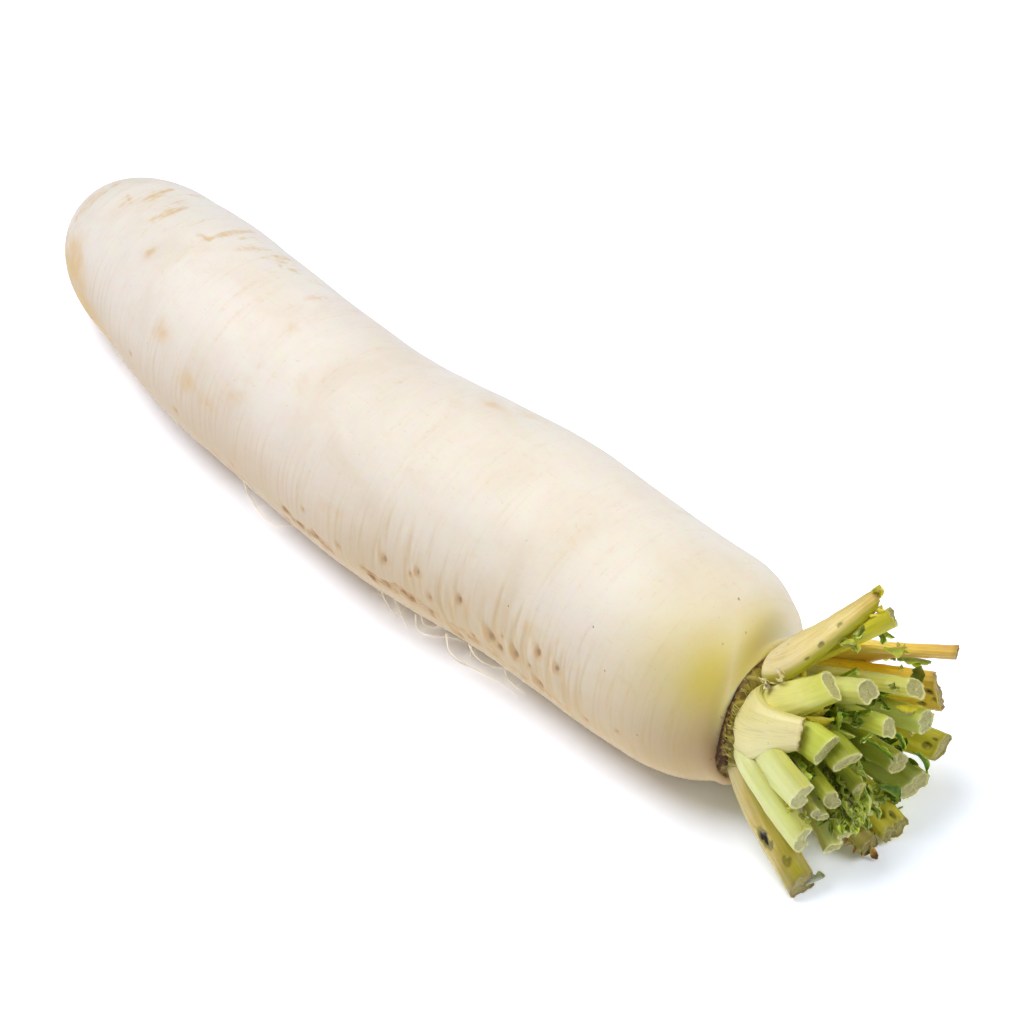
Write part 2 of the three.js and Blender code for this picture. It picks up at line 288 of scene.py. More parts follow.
class Finish:
    """A material made of nodes. Most methods add a node and give back its output.

    An input is a number, the output of a node, a web colour, or the name of one of the skin's values.
    """

    def __init__(self, name, roughness=0.5, depth=0, scatter=(1, 0.6, 0.35), gloss=0.5):
        self.material = bpy.data.materials.new(name)
        self.material.use_nodes = True
        self.tree = self.material.node_tree
        self.surface = self.tree.nodes["Principled BSDF"].inputs
        self.fill(self.surface, {"Roughness": roughness, "Specular IOR Level": gloss})
        if depth:
            skin_depth = {"Subsurface Weight": 1, "Subsurface Scale": depth * MM}
            self.fill(self.surface, {**skin_depth, "Subsurface Radius": scatter})

    def fill(self, sockets, inputs):
        for key, value in inputs.items():
            if isinstance(value, bpy.types.NodeSocket):
                self.tree.links.new(value, sockets[key])
            elif not isinstance(value, str):
                sockets[key].default_value = value
            elif value.startswith("#"):
                sockets[key].default_value = (*colour(value), 1)
            else:
                self.tree.links.new(self.named(value), sockets[key])

    def node(self, kind, inputs, output=0, **settings):
        made = self.tree.nodes.new(kind)
        for key, value in settings.items():
            setattr(made, key, value)
        self.fill(made.inputs, inputs)
        return made.outputs[output]

    def named(self, name, output="Fac"):
        return self.node("ShaderNodeAttribute", {}, output, attribute_name=name)

    def place(self):
        return self.node("ShaderNodeTexCoord", {}, "Object")

    def scaled(self, vector, *factors):
        return self.node("ShaderNodeVectorMath", {0: vector, 1: factors}, operation="MULTIPLY")

    def noise(self, vector, scale, detail=3, rough=0.55, warp=0):
        inputs = {"Vector": vector, "Scale": scale, "Detail": detail, "Roughness": rough, "Distortion": warp}
        return self.node("ShaderNodeTexNoise", inputs, "Fac")

    def cells(self, vector, scale):
        return self.node("ShaderNodeTexVoronoi", {"Vector": vector, "Scale": scale}, "Distance")

    def step(self, value, low, high, start=0.0, end=1.0):
        """A smooth change from start to end as a value goes from low to high."""
        inputs = {"Value": value, "From Min": low, "From Max": high, "To Min": start, "To Max": end}
        return self.node("ShaderNodeMapRange", inputs, interpolation_type="SMOOTHSTEP")

    def maths(self, operation, first, second):
        return self.node("ShaderNodeMath", {0: first, 1: second}, operation=operation)

    def times(self, first, second):
        return self.maths("MULTIPLY", first, second)

    def plus(self, first, second):
        return self.maths("ADD", first, second)

    def swing(self, value, gain, middle=0.5):
        """How far a value lies from its middle, times a gain."""
        return self.times(self.maths("SUBTRACT", value, middle), gain)

    def mix(self, share, first, second):
        inputs = {MIX_SHARE: share, MIX_FIRST: first, MIX_SECOND: second}
        return self.node("ShaderNodeMix", inputs, MIX_COLOUR, data_type="RGBA")

    def coat(self, paint, share, strength=1):
        """Lays a colour over the base colour by a share of it."""
        covered = share if strength == 1 else self.times(share, strength)
        self.base = self.mix(covered, self.base, paint)

    def stain(self, paint, value, low, high, strength=1):
        """Lays a colour over the base colour, more of it as a value goes from low to high."""
        self.coat(paint, self.step(value, low, high), strength)

    def finish(self, height, bump, reach=0.3, roughness=None):
        """The finished material: its base colour, and a bumpy surface."""
        relief = {"Height": height, "Strength": bump, "Distance": reach * MM}
        looks = {"Base Color": self.base, "Normal": self.node("ShaderNodeBump", relief, "Normal")}
        if roughness is not None:
            looks["Roughness"] = roughness
        self.fill(self.surface, looks)
        return self.material


# ---- the root

# The finished root's rings and the points of each, and how many of the CAD root's rings are its crown.
ROOT_RINGS = 478
ROOT_SIDES = 200
CROWN_RINGS = 5

# How far from the crown's axis the crease's floor lies at least, and how far the tail bulges, in mm.
LEAST_CREASE = 23
TAIL_TIP = 2.2

# The rings that close the root's tail and its crown, as shares of the end ring.
TAIL_STEPS = (0.04, 0.12, 0.25, 0.4, 0.55, 0.7, 0.82, 0.92)
CORE_STEPS = (0.8, 0.5, 0.2)


def root_from_turn_zero(rings):
    """The rings with the first corner of each just past turn 0, going up through the top."""
    first = rings[0] - rings[0].mean(axis=0)
    turns = np.degrees(np.arctan2(first[:, 2], first[:, 1])) % 360
    rings = np.roll(rings, -int(np.argmin(turns)), axis=1)
    if turns[(np.argmin(turns) + 1) % len(turns)] > 180:
        rings = np.roll(rings[:, ::-1], 1, axis=1)
    return rings


root_cad = root_from_turn_zero(sweep_rings("storage_root"))
CORNERS = root_cad.shape[1]
CORNER_TURN = 180 / CORNERS
crown_middle = root_cad[-CROWN_RINGS].mean(axis=0)
crown_ahead = unit(root_cad[-1].mean(axis=0) - crown_middle)
crown_far = unit(Y - (Y @ crown_ahead) * crown_ahead)
crown_up = np.cross(crown_ahead, crown_far)
rim_x = root_cad[-CROWN_RINGS - 1, :, 0].mean()
crease_ring = len(root_cad) - CROWN_RINGS - 0.75


def crown_place(turn, out, ahead):
    """A place by its turn round the crown, its distance from the axis and its distance along it."""
    angle = math.radians(turn)
    way = math.cos(angle) * crown_far + math.sin(angle) * crown_up
    return crown_middle + ahead * crown_ahead + out * way


def from_crown(points):
    """The part of each place that lies out from the crown's axis."""
    away = points - crown_middle
    return away - dot(away, crown_ahead) * crown_ahead


def filled_crease(rings):
    """The root's rings with a shallower crease between shoulder and crown, shallowest on top."""
    turns = CORNER_TURN + 360 * np.arange(CORNERS) / CORNERS
    least = LEAST_CREASE + facing(turns, 106, 30)[:, None]
    rings = rings.copy()
    rim = rings[-CROWN_RINGS - 1]
    out = np.linalg.norm(from_crown(rim), axis=-1, keepdims=True)
    rings[-CROWN_RINGS - 1] = rim + from_crown(rim) / out * np.maximum(least - out, 0)
    return rings


def crowded(count, middle, width, gain):
    """Steps from 0 to 1 that stand closer together round a middle."""
    even = np.linspace(0, 1, 1000)
    travelled = np.cumsum(1 + gain * bell(even - middle, width))
    travelled = (travelled - travelled[0]) / (travelled[-1] - travelled[0])
    return np.interp(np.linspace(0, 1, count), travelled, even)


def fine_root():
    """The root's skin on smooth curves through the CAD corners, finest on the near side of the neck."""
    steps = crowded(ROOT_RINGS, 0.76, 0.2, 0.9)
    turns = CORNER_TURN + 360 * crowded(ROOT_SIDES + 1, 0.44, 0.16, 0.8)[:-1]
    places = refine(even_places(root_cad[:, CORNERS // 4], 400), steps * 399)
    rings = refine(filled_crease(root_cad), places).swapaxes(0, 1)
    sides = (turns - CORNER_TURN) / 360 * CORNERS
    return refine(rings, sides, closed=True).swapaxes(0, 1), turns[None, :], places[:, None]


def domed_end(ring, tip, steps):
    """Rings that close a tube's flat end with a low dome, as shares of the end ring."""
    middle = ring.mean(axis=0)
    return [middle + (ring - middle) * share + tip * (1 - share ** 2) for share in steps]


# Scars of side roots: place (mm from the crown's rim towards the tail), turn, size and depth in mm.
SCARS = [
    (126.8, 176, 2.2, 0.9), (112.8, 171.7, 1.7, 0.8), (115.6, 175.2, 1.1, 0.4), (107.2, 183.2, 1.8, 0.7),
    (94.6, 172.5, 1.9, 1.1), (89.4, 192.8, 1.5, 0.6), (80.7, 182.9, 3.2, 1.2), (76.9, 187.1, 2.4, 0.9),
    (69.7, 183.1, 2.8, 1.3), (59.8, 170.9, 2.3, 1.1), (51.5, 172.1, 1.9, 0.9), (59.6, 194.1, 3, 1.1),
    (75.9, 177.3, 0.8, 0.4), (63.4, 183.6, 1.3, 0.5), (148, 186, 1.6, 0.5), (166, 178, 1.2, 0.4),
    (208, 192, 1.4, 0.5), (40, 196, 1.6, 0.6), (28, 187, 1.2, 0.4), (98, 206, 2.6, 0.9),
    (134, 214, 2, 0.7), (180, 205, 1.8, 0.6), (240, 186, 1.5, 0.5), (270, 176, 1.2, 0.4),
    (60, 8, 2.6, 1.1), (72, 1, 1.8, 0.8), (86, 12, 2.2, 0.9), (97, 4, 1.3, 0.5), (112, 352, 2.4, 1),
    (126, 9, 1.6, 0.6), (139, 357, 2, 0.7), (158, 3, 1.5, 0.6), (182, 350, 1.9, 0.7), (205, 6, 1.3, 0.5),
    (233, 359, 1.6, 0.6), (262, 352, 1.4, 0.5), (290, 10, 1.2, 0.5), (44, 350, 1.4, 0.5), (30, 4, 1.1, 0.4),
]

# Small dark specks in the skin: the same, without a depth.
SPECKS = [
    (34.8, 155.6, 0.5), (44.3, 140.4, 0.5), (75.9, 158.1, 0.5), (21.5, 181.1, 0.6), (13, 84, 0.6),
    (13.1, 101.6, 0.5), (5, 96, 0.5), (8, 112, 0.6), (22, 60, 0.5), (96, 118, 0.4), (150, 132, 0.5),
    (214, 140, 0.5), (262, 120, 0.4), (190, 78, 0.4), (61, 30, 0.6), (118, 20, 0.5), (88, 320, 0.7),
]

# Stained creases on the upper side, towards the tail: place and turn of both ends, width, strength.
STREAKS = [
    (336, 135, 333, 100, 3, 0.9), (320, 95, 314, 100, 1, 0.9), (314, 100, 316, 107, 1, 0.7),
    (310, 92, 311.5, 69, 2.2, 0.9), (297, 101, 295, 78, 2.2, 1), (284.5, 96, 281, 72, 1.6, 0.5),
    (275.4, 89, 268, 87.5, 0.9, 0.9), (268, 87.5, 267, 50, 1.4, 1), (256.5, 79, 252.3, 58, 1.8, 0.9),
    (247, 71, 242.7, 59, 1.6, 0.9), (243, 66, 239, 68, 0.8, 0.9), (238.7, 63, 234, 60, 1, 0.8),
    (219.2, 75, 217.6, 62, 1.6, 0.6), (301, 85, 299, 72, 1.8, 0.5), (262, 70, 260, 56, 2, 0.6),
    (247, 62, 245, 50, 1.6, 0.9), (229, 60, 227, 48, 1.4, 0.6), (304, 58, 301, 30, 2.2, 0.7),
    (288, 52, 284, 24, 2, 0.6), (271, 38, 266, 8, 1.6, 0.7), (250, 40, 247, 12, 1.8, 0.5),
    (325, 40, 322, 350, 2.6, 0.8), (330, 300, 324, 250, 3, 0.7), (300, 215, 297, 250, 2, 0.6),
    (208, 52, 206, 30, 1.4, 0.4), (190, 40, 188, 15, 1.3, 0.4),
]

# Faint ochre blotches: place, turn, length along the root and width round it in mm, strength.
BLOTCHES = [
    (324, 164, 13, 12, 0.8), (332, 180, 10, 12, 1), (315, 186, 14, 7, 0.9), (300, 194, 18, 5, 0.8),
    (282, 118, 2.5, 3, 0.6), (274, 152, 6, 6, 0.35), (253, 147, 7, 5, 0.4), (234, 160, 7, 5, 0.6),
    (222, 160, 6, 6, 0.45), (210, 148, 7, 7, 0.35), (209, 97, 4, 4, 0.35), (188, 118, 6, 8, 0.3),
    (138, 80, 6, 4, 0.35), (130, 68, 8, 4, 0.45), (125, 60, 7, 4, 0.4), (340, 60, 9, 12, 0.7),
    (338, 250, 12, 14, 0.8), (150, 165, 12, 6, 0.25), (60, 160, 14, 8, 0.25), (30, 165, 12, 10, 0.3),
]

# Rough brown seams low on the near side: their two ends in mm from the rim, their turn, strength.
SEAMS = [
    (150, 182, 195, 1.3), (104, 140, 194, 1.2), (78, 102, 197, 0.9), (48, 76, 199, 0.8),
    (196, 224, 199, 0.6),
]

# Fine creases on the near side and elsewhere, how far along the root one reaches, and depths in mm.
WRINKLES = 280
SIDE_WRINKLES = 50
CREASE_SPAN = 12
CREASE_DEPTH = 0.17
STREAK_DEPTH = 0.12
SEAM_DEPTH = 0.3

# The root's girth where the streaks are, as a radius in mm.
STREAK_GIRTH = 32


def wrinkle_depth(place, turn):
    """Fine creases that run part of the way round, most of them on the near side below the middle."""
    chance = np.random.default_rng(5)
    depth = np.zeros(np.broadcast(place, turn).shape)
    for number in range(WRINKLES + SIDE_WRINKLES):
        near = number < WRINKLES
        start = chance.normal(80, 36) if near else chance.uniform(10, 335)
        middle = chance.normal(180, 15) if near else chance.uniform(0, 360)
        reach = chance.uniform(6, 20)
        slant = chance.normal(0.05, 0.03) if near else chance.normal(0, 0.05)
        wave, pace, width = chance.uniform((0.2, 5, 0.45), (0.9, 14, 0.95))
        strength = (1 if near else 0.5) * chance.uniform(0.2, 1) ** 1.7
        gap = turn_gap(turn, middle)
        line = start - slant * gap + wave * np.sin(gap / pace + start)
        rows = np.abs(place[:, 0] - start) < CREASE_SPAN
        depth[rows] += strength * bell((place - line)[rows], width) * bell(gap, reach)
    return depth


def mark(where, spot):
    """How far each point is from a spot along the root and round it, in mm."""
    place, turn, girth = where
    return place - spot[0], np.radians(turn_gap(turn, spot[1])) * girth


def streak_share(where, streak):
    """How strongly a point lies on a stained line from one place to another."""
    start, start_turn, end, end_turn, width, strength = streak
    along, across = mark(where, streak)
    line = np.array([end - start, math.radians(turn_gap(end_turn, start_turn)) * STREAK_GIRTH])
    share = np.clip((along * line[0] + across * line[1]) / (line @ line), 0, 1)
    gap = np.hypot(along - share * line[0], across - share * line[1])
    taper = 0.5 + 0.5 * np.sin(np.pi * np.clip(share, 0.08, 0.92))
    return strength * bell(gap, 1.35 * width * taper)


def seam_share(where):
    """How strongly a point lies on one of the rough seams, which wind along the root."""
    place, turn, girth = where
    share = np.zeros(np.broadcast(place, turn).shape)
    for near_end, far_end, middle, strength in SEAMS:
        along = ease(place, near_end - 3, near_end + 5) * (1 - ease(place, far_end - 5, far_end + 3))
        line = middle + 1.6 * np.sin(place / 3.3) + 0.8 * np.sin(place / 1.3)
        across = np.radians(turn_gap(turn, line)) * girth
        share = np.maximum(share, strength * along * bell(across, 3.4))
    return share


def scar_shapes(where):
    """How far each scar of a side root raises the skin, with a pit and a lip, and how dark it is."""
    for spot in SCARS:
        size, depth = spot[2:]
        along, across = mark(where, spot)
        curved = along - 0.12 * across ** 2
        pit = bell(np.hypot(curved / 0.5, across), size)
        lip = bell(np.hypot((curved - 0.9 * size) / 0.45, across), 1.4 * size)
        yield depth * (0.5 * lip - 0.75 * pit), 0.55 * bell(np.hypot(along, across), 1.7 * size) + 0.45 * pit


def root_skin():
    """The root's skin with its creases, scars and crown, and the values that its finish needs."""
    rings, turn, ring_place = fine_root()
    middle = rings.mean(axis=1, keepdims=True)
    girth = np.linalg.norm(rings - middle, axis=-1).mean(axis=1, keepdims=True)
    place = rim_x - middle[..., 0]
    where = (place, turn, girth)
    past_crease = ring_place - crease_ring - skin_reach(turn)
    crown = ease(past_crease, -0.3, 0.15)
    wrinkle = wrinkle_depth(place, turn) * (1 - crown) * ease(girth, 10, 24)
    scar_lifts, scars = zip(*scar_shapes(where))
    stains = [streak_share(where, streak) for streak in STREAKS]
    specks = [bell(np.hypot(*mark(where, spot)), 1.1 * spot[2]) for spot in SPECKS]
    blotches = []
    for spot in BLOTCHES:
        along, across = mark(where, spot)
        blotches.append(spot[4] * bell(np.hypot(along / spot[2], across / spot[3]), 1))
    seam = seam_share(where) * (0.75 + 0.6 * wander(rings, 1.8, 9))
    swelling = 0.5 * wander(rings, 26, 1) + 0.12 * wander(rings, 9, 2) + sum(scar_lifts)
    broken_seam = seam * (0.5 + 1.3 * wander(rings, 1.3, 10))
    lift = swelling - CREASE_DEPTH * wrinkle - STREAK_DEPTH * sum(stains) - SEAM_DEPTH * broken_seam
    rise = crown_relief(rings, turn, past_crease)
    shaped = rings + unit(rings - middle) * (lift * (1 - crown))[..., None] + rise[..., None] * crown_ahead
    tail = domed_end(shaped[0], -TAIL_TIP * X, TAIL_STEPS)
    core = domed_end(shaped[-1], 0.4 * crown_ahead, CORE_STEPS)
    values = {
        "crease": wrinkle, "scar": np.max(scars, axis=0) * (1 - crown), "speck": np.max(specks, axis=0),
        "stain": np.max(stains, axis=0), "blotch": np.max(blotches, axis=0), "seam": seam, "crown": crown,
        "flush": flush_share(place, turn), "soil": soil_share(past_crease, turn),
        "bruise_and_shade": bruise_and_shade_share(past_crease, place, turn), "underside_tan_and_shade": underside_tan_and_shade_share(turn),
    }
    for name, value in values.items():
        whole = np.broadcast_to(value, rings.shape[:2])
        values[name] = np.pad(whole, ((len(tail), len(core)), (0, 0)), "edge")
    return skin(np.concatenate([tail, shaped, core]), **values)


def skin_reach(turn):
    """How far the white skin climbs past the crease's middle, in rings of the CAD root."""
    return 0.5 * facing(turn, 228, 36) + 1.5 * facing(turn, 78, 42) + 0.2 * facing(turn, 145, 20)


def underside_tan_and_shade_share(turn):
    """The duller, tan skin of the underside, which lay in the soil longest, made darker still as painted
    shade on the side turned from the light.
    """
    return ease(-np.sin(np.radians(turn)), -0.9, 0.38)


def flush_share(place, turn):
    """The yellow-green flush that sunlight leaves on the shoulder, and an ivory tinge behind it."""
    shoulder = 0.4 * bell(place - 6, 8) + 0.5 * (1 - ease(place, 8, 48))
    rim = 0.85 * bell(place + 1, 11) * facing(turn, 94, 36)
    ivory = 0.07 * (1 - ease(place, 70, 215))
    return np.maximum(shoulder * (0.12 + 0.88 * facing(turn, 133, 34)), rim) + ivory


def bruise_and_shade_share(past_crease, place, turn):
    """The brownish skin beside the crease, widest low on the near side, where it is partly painted shade on
    the shoulder that turns away from the light.
    """
    beside = bell(past_crease + 0.15, 0.35) * (0.7 + 1.1 * facing(turn, 118, 32))
    low = bell(place - 2, 20) * facing(turn, 176, 36)
    rim = 0.8 * bell(place, 5) * facing(turn, 165, 26) + 0.6 * bell(place + 3, 5) * facing(turn, 90, 24)
    return beside + low + rim


def soil_share(past_crease, turn):
    """Dark soil caught in the crease between the shoulder and the crown, most of it in one place."""
    thin = 0.24 + 0.06 * np.sin(np.radians(7 * turn)) + 0.1 * facing(turn, 168, 28)
    line = bell(past_crease, thin) * (0.3 + 0.7 * facing(turn, 154, 50))
    flecks = 0.5 * bell(past_crease + 0.35, 0.4) * facing(turn, 136, 48)
    clod = facing(turn, 189, 9) * bell(past_crease - 0.25, 0.5)
    return np.maximum(np.maximum(line, flecks), clod)


def crown_relief(rings, turn, past_crease):
    """The crown's crease, and the ridges that old leaves left on it, in mm along the crown's way."""
    out = np.linalg.norm(rings - crown_middle, axis=-1)
    waves = 1.9 * out + 2.2 * np.sin(np.radians(3 * turn)) + 1.3 * np.sin(np.radians(5 * turn))
    rough = 0.35 * np.sin(waves) + 0.5 * wander(rings, 2.2, 8)
    return ease(past_crease, 0, 0.4) * rough - 1.2 * bell(past_crease, 0.22)


def root_finish():
    """Ivory skin: creased, stained and scarred, with an olive crown and dark soil in its crease."""
    f = Finish("daikon_skin", roughness=0.55, depth=3.2, scatter=(1, 0.62, 0.36), gloss=0.2)
    place = f.place()
    cloud = f.noise(place, 26, 5, 0.6, 0.6)
    streaky = f.noise(f.scaled(place, 520, 22, 22), 1, 5, 0.65, 0.5)
    fine = f.noise(f.scaled(place, 1300, 200, 200), 1, 3)
    f.base = f.mix(f.step(cloud, 0.35, 0.75), "#f1eae1", "#e9decf")
    # The underside's tan: partly the skin's own colour, partly painted shade on the lower side.
    f.stain("#d3b88c", streaky, 0.46, 0.7, f.step("underside_tan_and_shade", 0.0, 0.6, 0.05, 0.4))
    f.coat("#be9e68", "underside_tan_and_shade", 0.74)
    f.stain("#caa460", "crease", 0.1, 1.5, 0.3)
    ragged = f.plus("blotch", f.times(f.noise(place, 160, 4), 0.9))
    f.stain("#dab36a", ragged, 0.55, 1.35, 0.75)
    broken = f.swing(f.plus(f.noise(place, 330, 5, 0.7), streaky), 2.2, middle=1)
    f.stain("#dab46c", f.plus("stain", broken), 0.15, 1.4, 0.68)
    f.coat("#d2c23e", "flush", 0.9)
    # Brown beside the crease: a stain, and low on the near side of the shoulder partly painted shade.
    f.coat("#a07a4c", "bruise_and_shade", 0.42)
    seam = f.plus("seam", f.swing(f.noise(f.scaled(place, 0.4, 2.4, 2.4), 420, 5, 0.8, 1), 2.6))
    f.stain("#bd8e52", seam, 0.2, 0.9, 0.62)
    f.stain("#8c602c", seam, 0.75, 1.3, 0.7)
    scar = f.plus("scar", f.swing(fine, 0.5))
    f.stain("#c9a068", scar, 0.15, 0.6, 0.45)
    f.stain("#946a3a", scar, 0.62, 0.95, 0.5)
    f.stain("#8a6a44", "speck", 0.4, 0.8, 0.75)
    f.stain("#a88a62", f.cells(f.scaled(place, 1, 1.3, 1.3), 210), 0.06, 0.0, 0.5)
    tissue = f.noise(f.scaled(place, 500, 900, 900), 1, 3)
    f.coat(f.mix(f.step(tissue, 0.4, 0.7), "#6c5c16", "#b6a640"), "crown")
    f.stain("#8a6238", "soil", 0.04, 0.5, 0.45)
    dirt = f.step(f.plus("soil", f.swing(f.noise(place, 500, 4), 1.8)), 0.35, 0.8)
    f.coat("#44291a", dirt, 0.92)
    height = f.plus(f.times(streaky, 0.6), f.times(fine, 0.3))
    height = f.plus(height, f.times(f.noise(place, 900, 3), 0.25))
    return f.finish(height, bump=0.2, reach=0.25, roughness=f.step(dirt, 0, 1, 0.5, 0.85))


# ---- leaf stalks

# A finished stalk's rings, the points of each, and the rings of its cut face as shares of its last.
STALK_RINGS = 60
STALK_SIDES = 88
CAP_SHARES = (0.985, 0.95, 0.9, 0.83, 0.74, 0.63, 0.5, 0.36, 0.2)

# How much deeper in the crown a stalk starts than its solid, and the least radius that its foot
# bends round, in mm.
ROOTED = 2
TIGHTEST_CLASP = 12

# A stalk's slot, its colours at its base, its middle and its cut end, and those of its cut face and
# the rim of that.
TONES = {
    "straw": ("pale_stalk", "#f5e6ba", "#f0de98", "#dabf5c", "#cdbb84", "#b99c60"),
    "dun": ("pale_stalk", "#cdbc7c", "#d3bb62", "#a3942c", "#a98f5c", "#80683a"),
    "cream": ("pale_stalk", "#e9de98", "#efe6a8", "#efe4ae", "#bdb37c", "#c0aa72"),
    "lime": ("green_stalk", "#f0ea9c", "#eeea90", "#dbdc66", "#b9b668", "#e2dda0"),
    "pale_green": ("green_stalk", "#e6e7a4", "#dfe290", "#d8da82", "#b3af74", "#e0dda6"),
    "leaf_green": ("green_stalk", "#e4e784", "#d8df6c", "#ccd558", "#b3b268", "#dcdaa0"),
    # Deep green: a darker copy of the green for the inner stalks, painted shade for their place deep in the
    # bunch.
    "deep_green_painted_shade": ("green_stalk", "#b2ba48", "#97a230", "#9aa232", "#aaa766", "#cfcb90"),
    "gold": ("withered_stalk", "#f8da3c", "#f4d01c", "#d8b850", "#c6aa62", "#96774a"),
    "husk": ("withered_stalk", "#fbe06c", "#f9da62", "#dfb85c", "#8d6838", "#8a6638"),
    "olive": ("green_stalk", "#e9e04e", "#e4db34", "#d0c740", "#b9ad66", "#93874a"),
    "brown_green": ("green_stalk", "#cfbf6c", "#b4a648", "#a89a4c", "#9c8c58", "#6f5c34"),
}

# What a stalk is like where its own row says nothing else: how far its base spreads and clasps the
# crown, how much its cut leans along its width and its thickness, how ragged the cut is in mm, how
# much stouter than its solid it is, how much longer in mm, how hollow, how wide its first half is,
# how wide its end is, how green its edges are, how far in mm its end and its base lie from those of
# its solid, and its rotten pits: share along it, degrees round it, size and depth.
PLAIN_STALK = dict(
    spread=1.1, lean=(0, -0.2), ragged=0.4, stout=1.25, longer=0, hollow=0, flare=0, tip=1, edge=1,
    bend=(0, 0, 0), shift=(0, 0, 0), pits=(),
)
STALKS = [
    dict(tone="straw", spread=1, lean=(0, 0.35), ragged=0.9, stout=1.2, tip=0.5, edge=2.2, shift=(1, 1.1, 2),
         bend=(1.7, 1.9, -0.5),
         pits=[(0.47, 140, 1.1, 0.5), (0.3, 150, 0.7, 0.4), (0.2, 70, 0.7, 0.35), (0.66, 120, 0.8, 0.35)]),
    dict(tone="olive", spread=1.9, lean=(-0.45, 0.1), ragged=0.6, stout=1.45, tip=0.8, hollow=0.4),
    dict(tone="husk", lean=(0.1, 0.2), flare=1.6, edge=0, stout=1.6, shift=(-1, 2, 0)),
    dict(tone="gold", spread=1.5, lean=(0.2, -0.2), ragged=0.8, stout=1.5, tip=1.3, edge=0,
         pits=[(0.93, 260, 1.2, 0.6), (0.86, 300, 1, 0.5), (0.96, 285, 0.9, 0.7), (0.8, 245, 0.9, 0.4)]),
    dict(tone="lime", lean=(0.3, -0.2)),
    dict(tone="pale_green", lean=(-0.1, -0.3)),
    dict(tone="lime", spread=1.3, lean=(-0.25, -0.1), stout=1.15, edge=1.5),
    dict(tone="cream", spread=1.9, lean=(0.2, 0.3), ragged=0.7),
    dict(tone="leaf_green", lean=(0.3, 0.4)),
    dict(tone="deep_green_painted_shade", lean=(0.2, 0.4)),
    dict(tone="leaf_green", lean=(-0.1, -0.3), stout=1.35),
    dict(tone="leaf_green", lean=(-0.1, 0.3), stout=1.35),
    dict(tone="olive", spread=1.2, lean=(-0.2, 0.4), stout=1.3,
         pits=[(0.92, 275, 1.2, 0.5), (0.84, 230, 0.9, 0.4), (0.95, 240, 0.8, 0.6)]),
    dict(tone="deep_green_painted_shade", lean=(-0.1, 0.7), ragged=0.7, stout=1.3),
    dict(tone="deep_green_painted_shade", lean=(0, 0.6), ragged=0.6, stout=1.3),
    dict(tone="pale_green", spread=1.6, lean=(0.6, -0.1), stout=1.3, hollow=0.3, shift=(-3, -3.3, 0)),
    dict(tone="pale_green", spread=0.8, lean=(-0.4, -0.2), stout=1.15, hollow=0.5, edge=1.5,
         shift=(1.6, 1.7, 0)),
    dict(tone="dun", lean=(-0.5, 0.1), ragged=0.6, stout=1.45, shift=(1, 1.1, 0),
         pits=[(0.54, 50, 2.3, 1.2), (0.8, 18, 2, 0.45)]),
    dict(tone="deep_green_painted_shade"),
    dict(tone="deep_green_painted_shade"),
    dict(tone="pale_green", stout=1.35, hollow=0.6),
    dict(tone="pale_green", lean=(0, 0.2)),
    dict(tone="brown_green", lean=(0, 0.5), ragged=0.6),
    dict(tone="olive", lean=(0, 0.6), ragged=0.9, pits=[(0.88, 270, 1.3, 0.5), (0.94, 240, 1, 0.6)]),
    dict(tone="leaf_green", lean=(0, 0.2)),
    dict(tone="leaf_green", lean=(0, 0.5), stout=1, longer=-5),
]


def sweep_frame(node):
    """A swept CAD solid's middles, which way its outer side faces, and its half width, rise and drop."""
    rings = sweep_rings(node)
    middles = rings.mean(axis=1)
    ups, sizes = [], []
    up = unit(from_crown(middles[0]))
    for ring, middle in zip(rings, middles):
        across, thin = np.linalg.svd(ring - middle)[2][:2]
        up = thin if thin @ up > 0 else -thin
        side = (ring - middle) @ across
        rise = (ring - middle) @ up
        ups.append(up)
        sizes.append((np.abs(side).max(), rise.max(), -rise.min()))
    return middles, np.array(ups), np.array(sizes)


def along_sweep(node, count, rooted=0.0, bend=(0, 0, 0), shift=(0, 0, 0)):
    """Finer steps along a swept CAD solid, which may start deeper, and bend or lie a little aside."""
    middles, ups, sizes = sweep_frame(node)
    places = even_places(middles, count)
    middles, ups, sizes = refine(middles, places), refine(ups, places), refine(sizes, places)
    share = np.linspace(0, 1, count)[:, None]
    middles = middles + np.array(bend) * share ** 2 + np.array(shift) * (1 - share)
    ahead = unit(np.gradient(middles, axis=0))
    middles = middles - ahead[:1] * rooted * (1 - ease(share, 0, 0.15))
    up = unit(ups - dot(ups, ahead) * ahead)
    return middles, ahead, np.cross(up, ahead), up, sizes, share


def stalk_line(number, look):
    """The line that a stalk follows, with its sizes."""
    line = along_sweep(f"leaf_stalk_{number:02d}", STALK_RINGS, ROOTED, look["bend"], look["shift"])
    middles, ahead, across, up, sizes, share = line
    sizes = sizes * look["stout"]
    sizes[:, :1] *= 1 + (look["tip"] - 1) * share ** 1.5
    return middles + ahead * look["longer"] * share ** 3, ahead, across, up, sizes, share


def stalk_section(angle, share, sizes, look, clasped):
    """A stalk's half width along it, and how far its points lie aside and outward of its middle line."""
    cosine, sine = np.cos(angle), np.sin(angle)
    half, rise, drop = (sizes[:, column, None] for column in range(3))
    base = (1 - share) ** 1.6
    half = half * (1 + (look["spread"] - 1) * base + look["flare"] * (1 - ease(share, 0.35, 0.62)))
    side = np.sign(cosine) * np.abs(cosine) ** 0.86 * half
    lift = np.where(sine > 0, rise, drop) * np.sign(sine) * np.abs(sine) ** 0.9
    channel = drop * (0.35 + 0.5 * base) + rise * look["hollow"]
    lift = lift + bell(side / half, 0.45) * np.maximum(-sine, 0) * channel
    return half, side, lift - base ** 1.5 * side ** 2 / (2 * clasped)


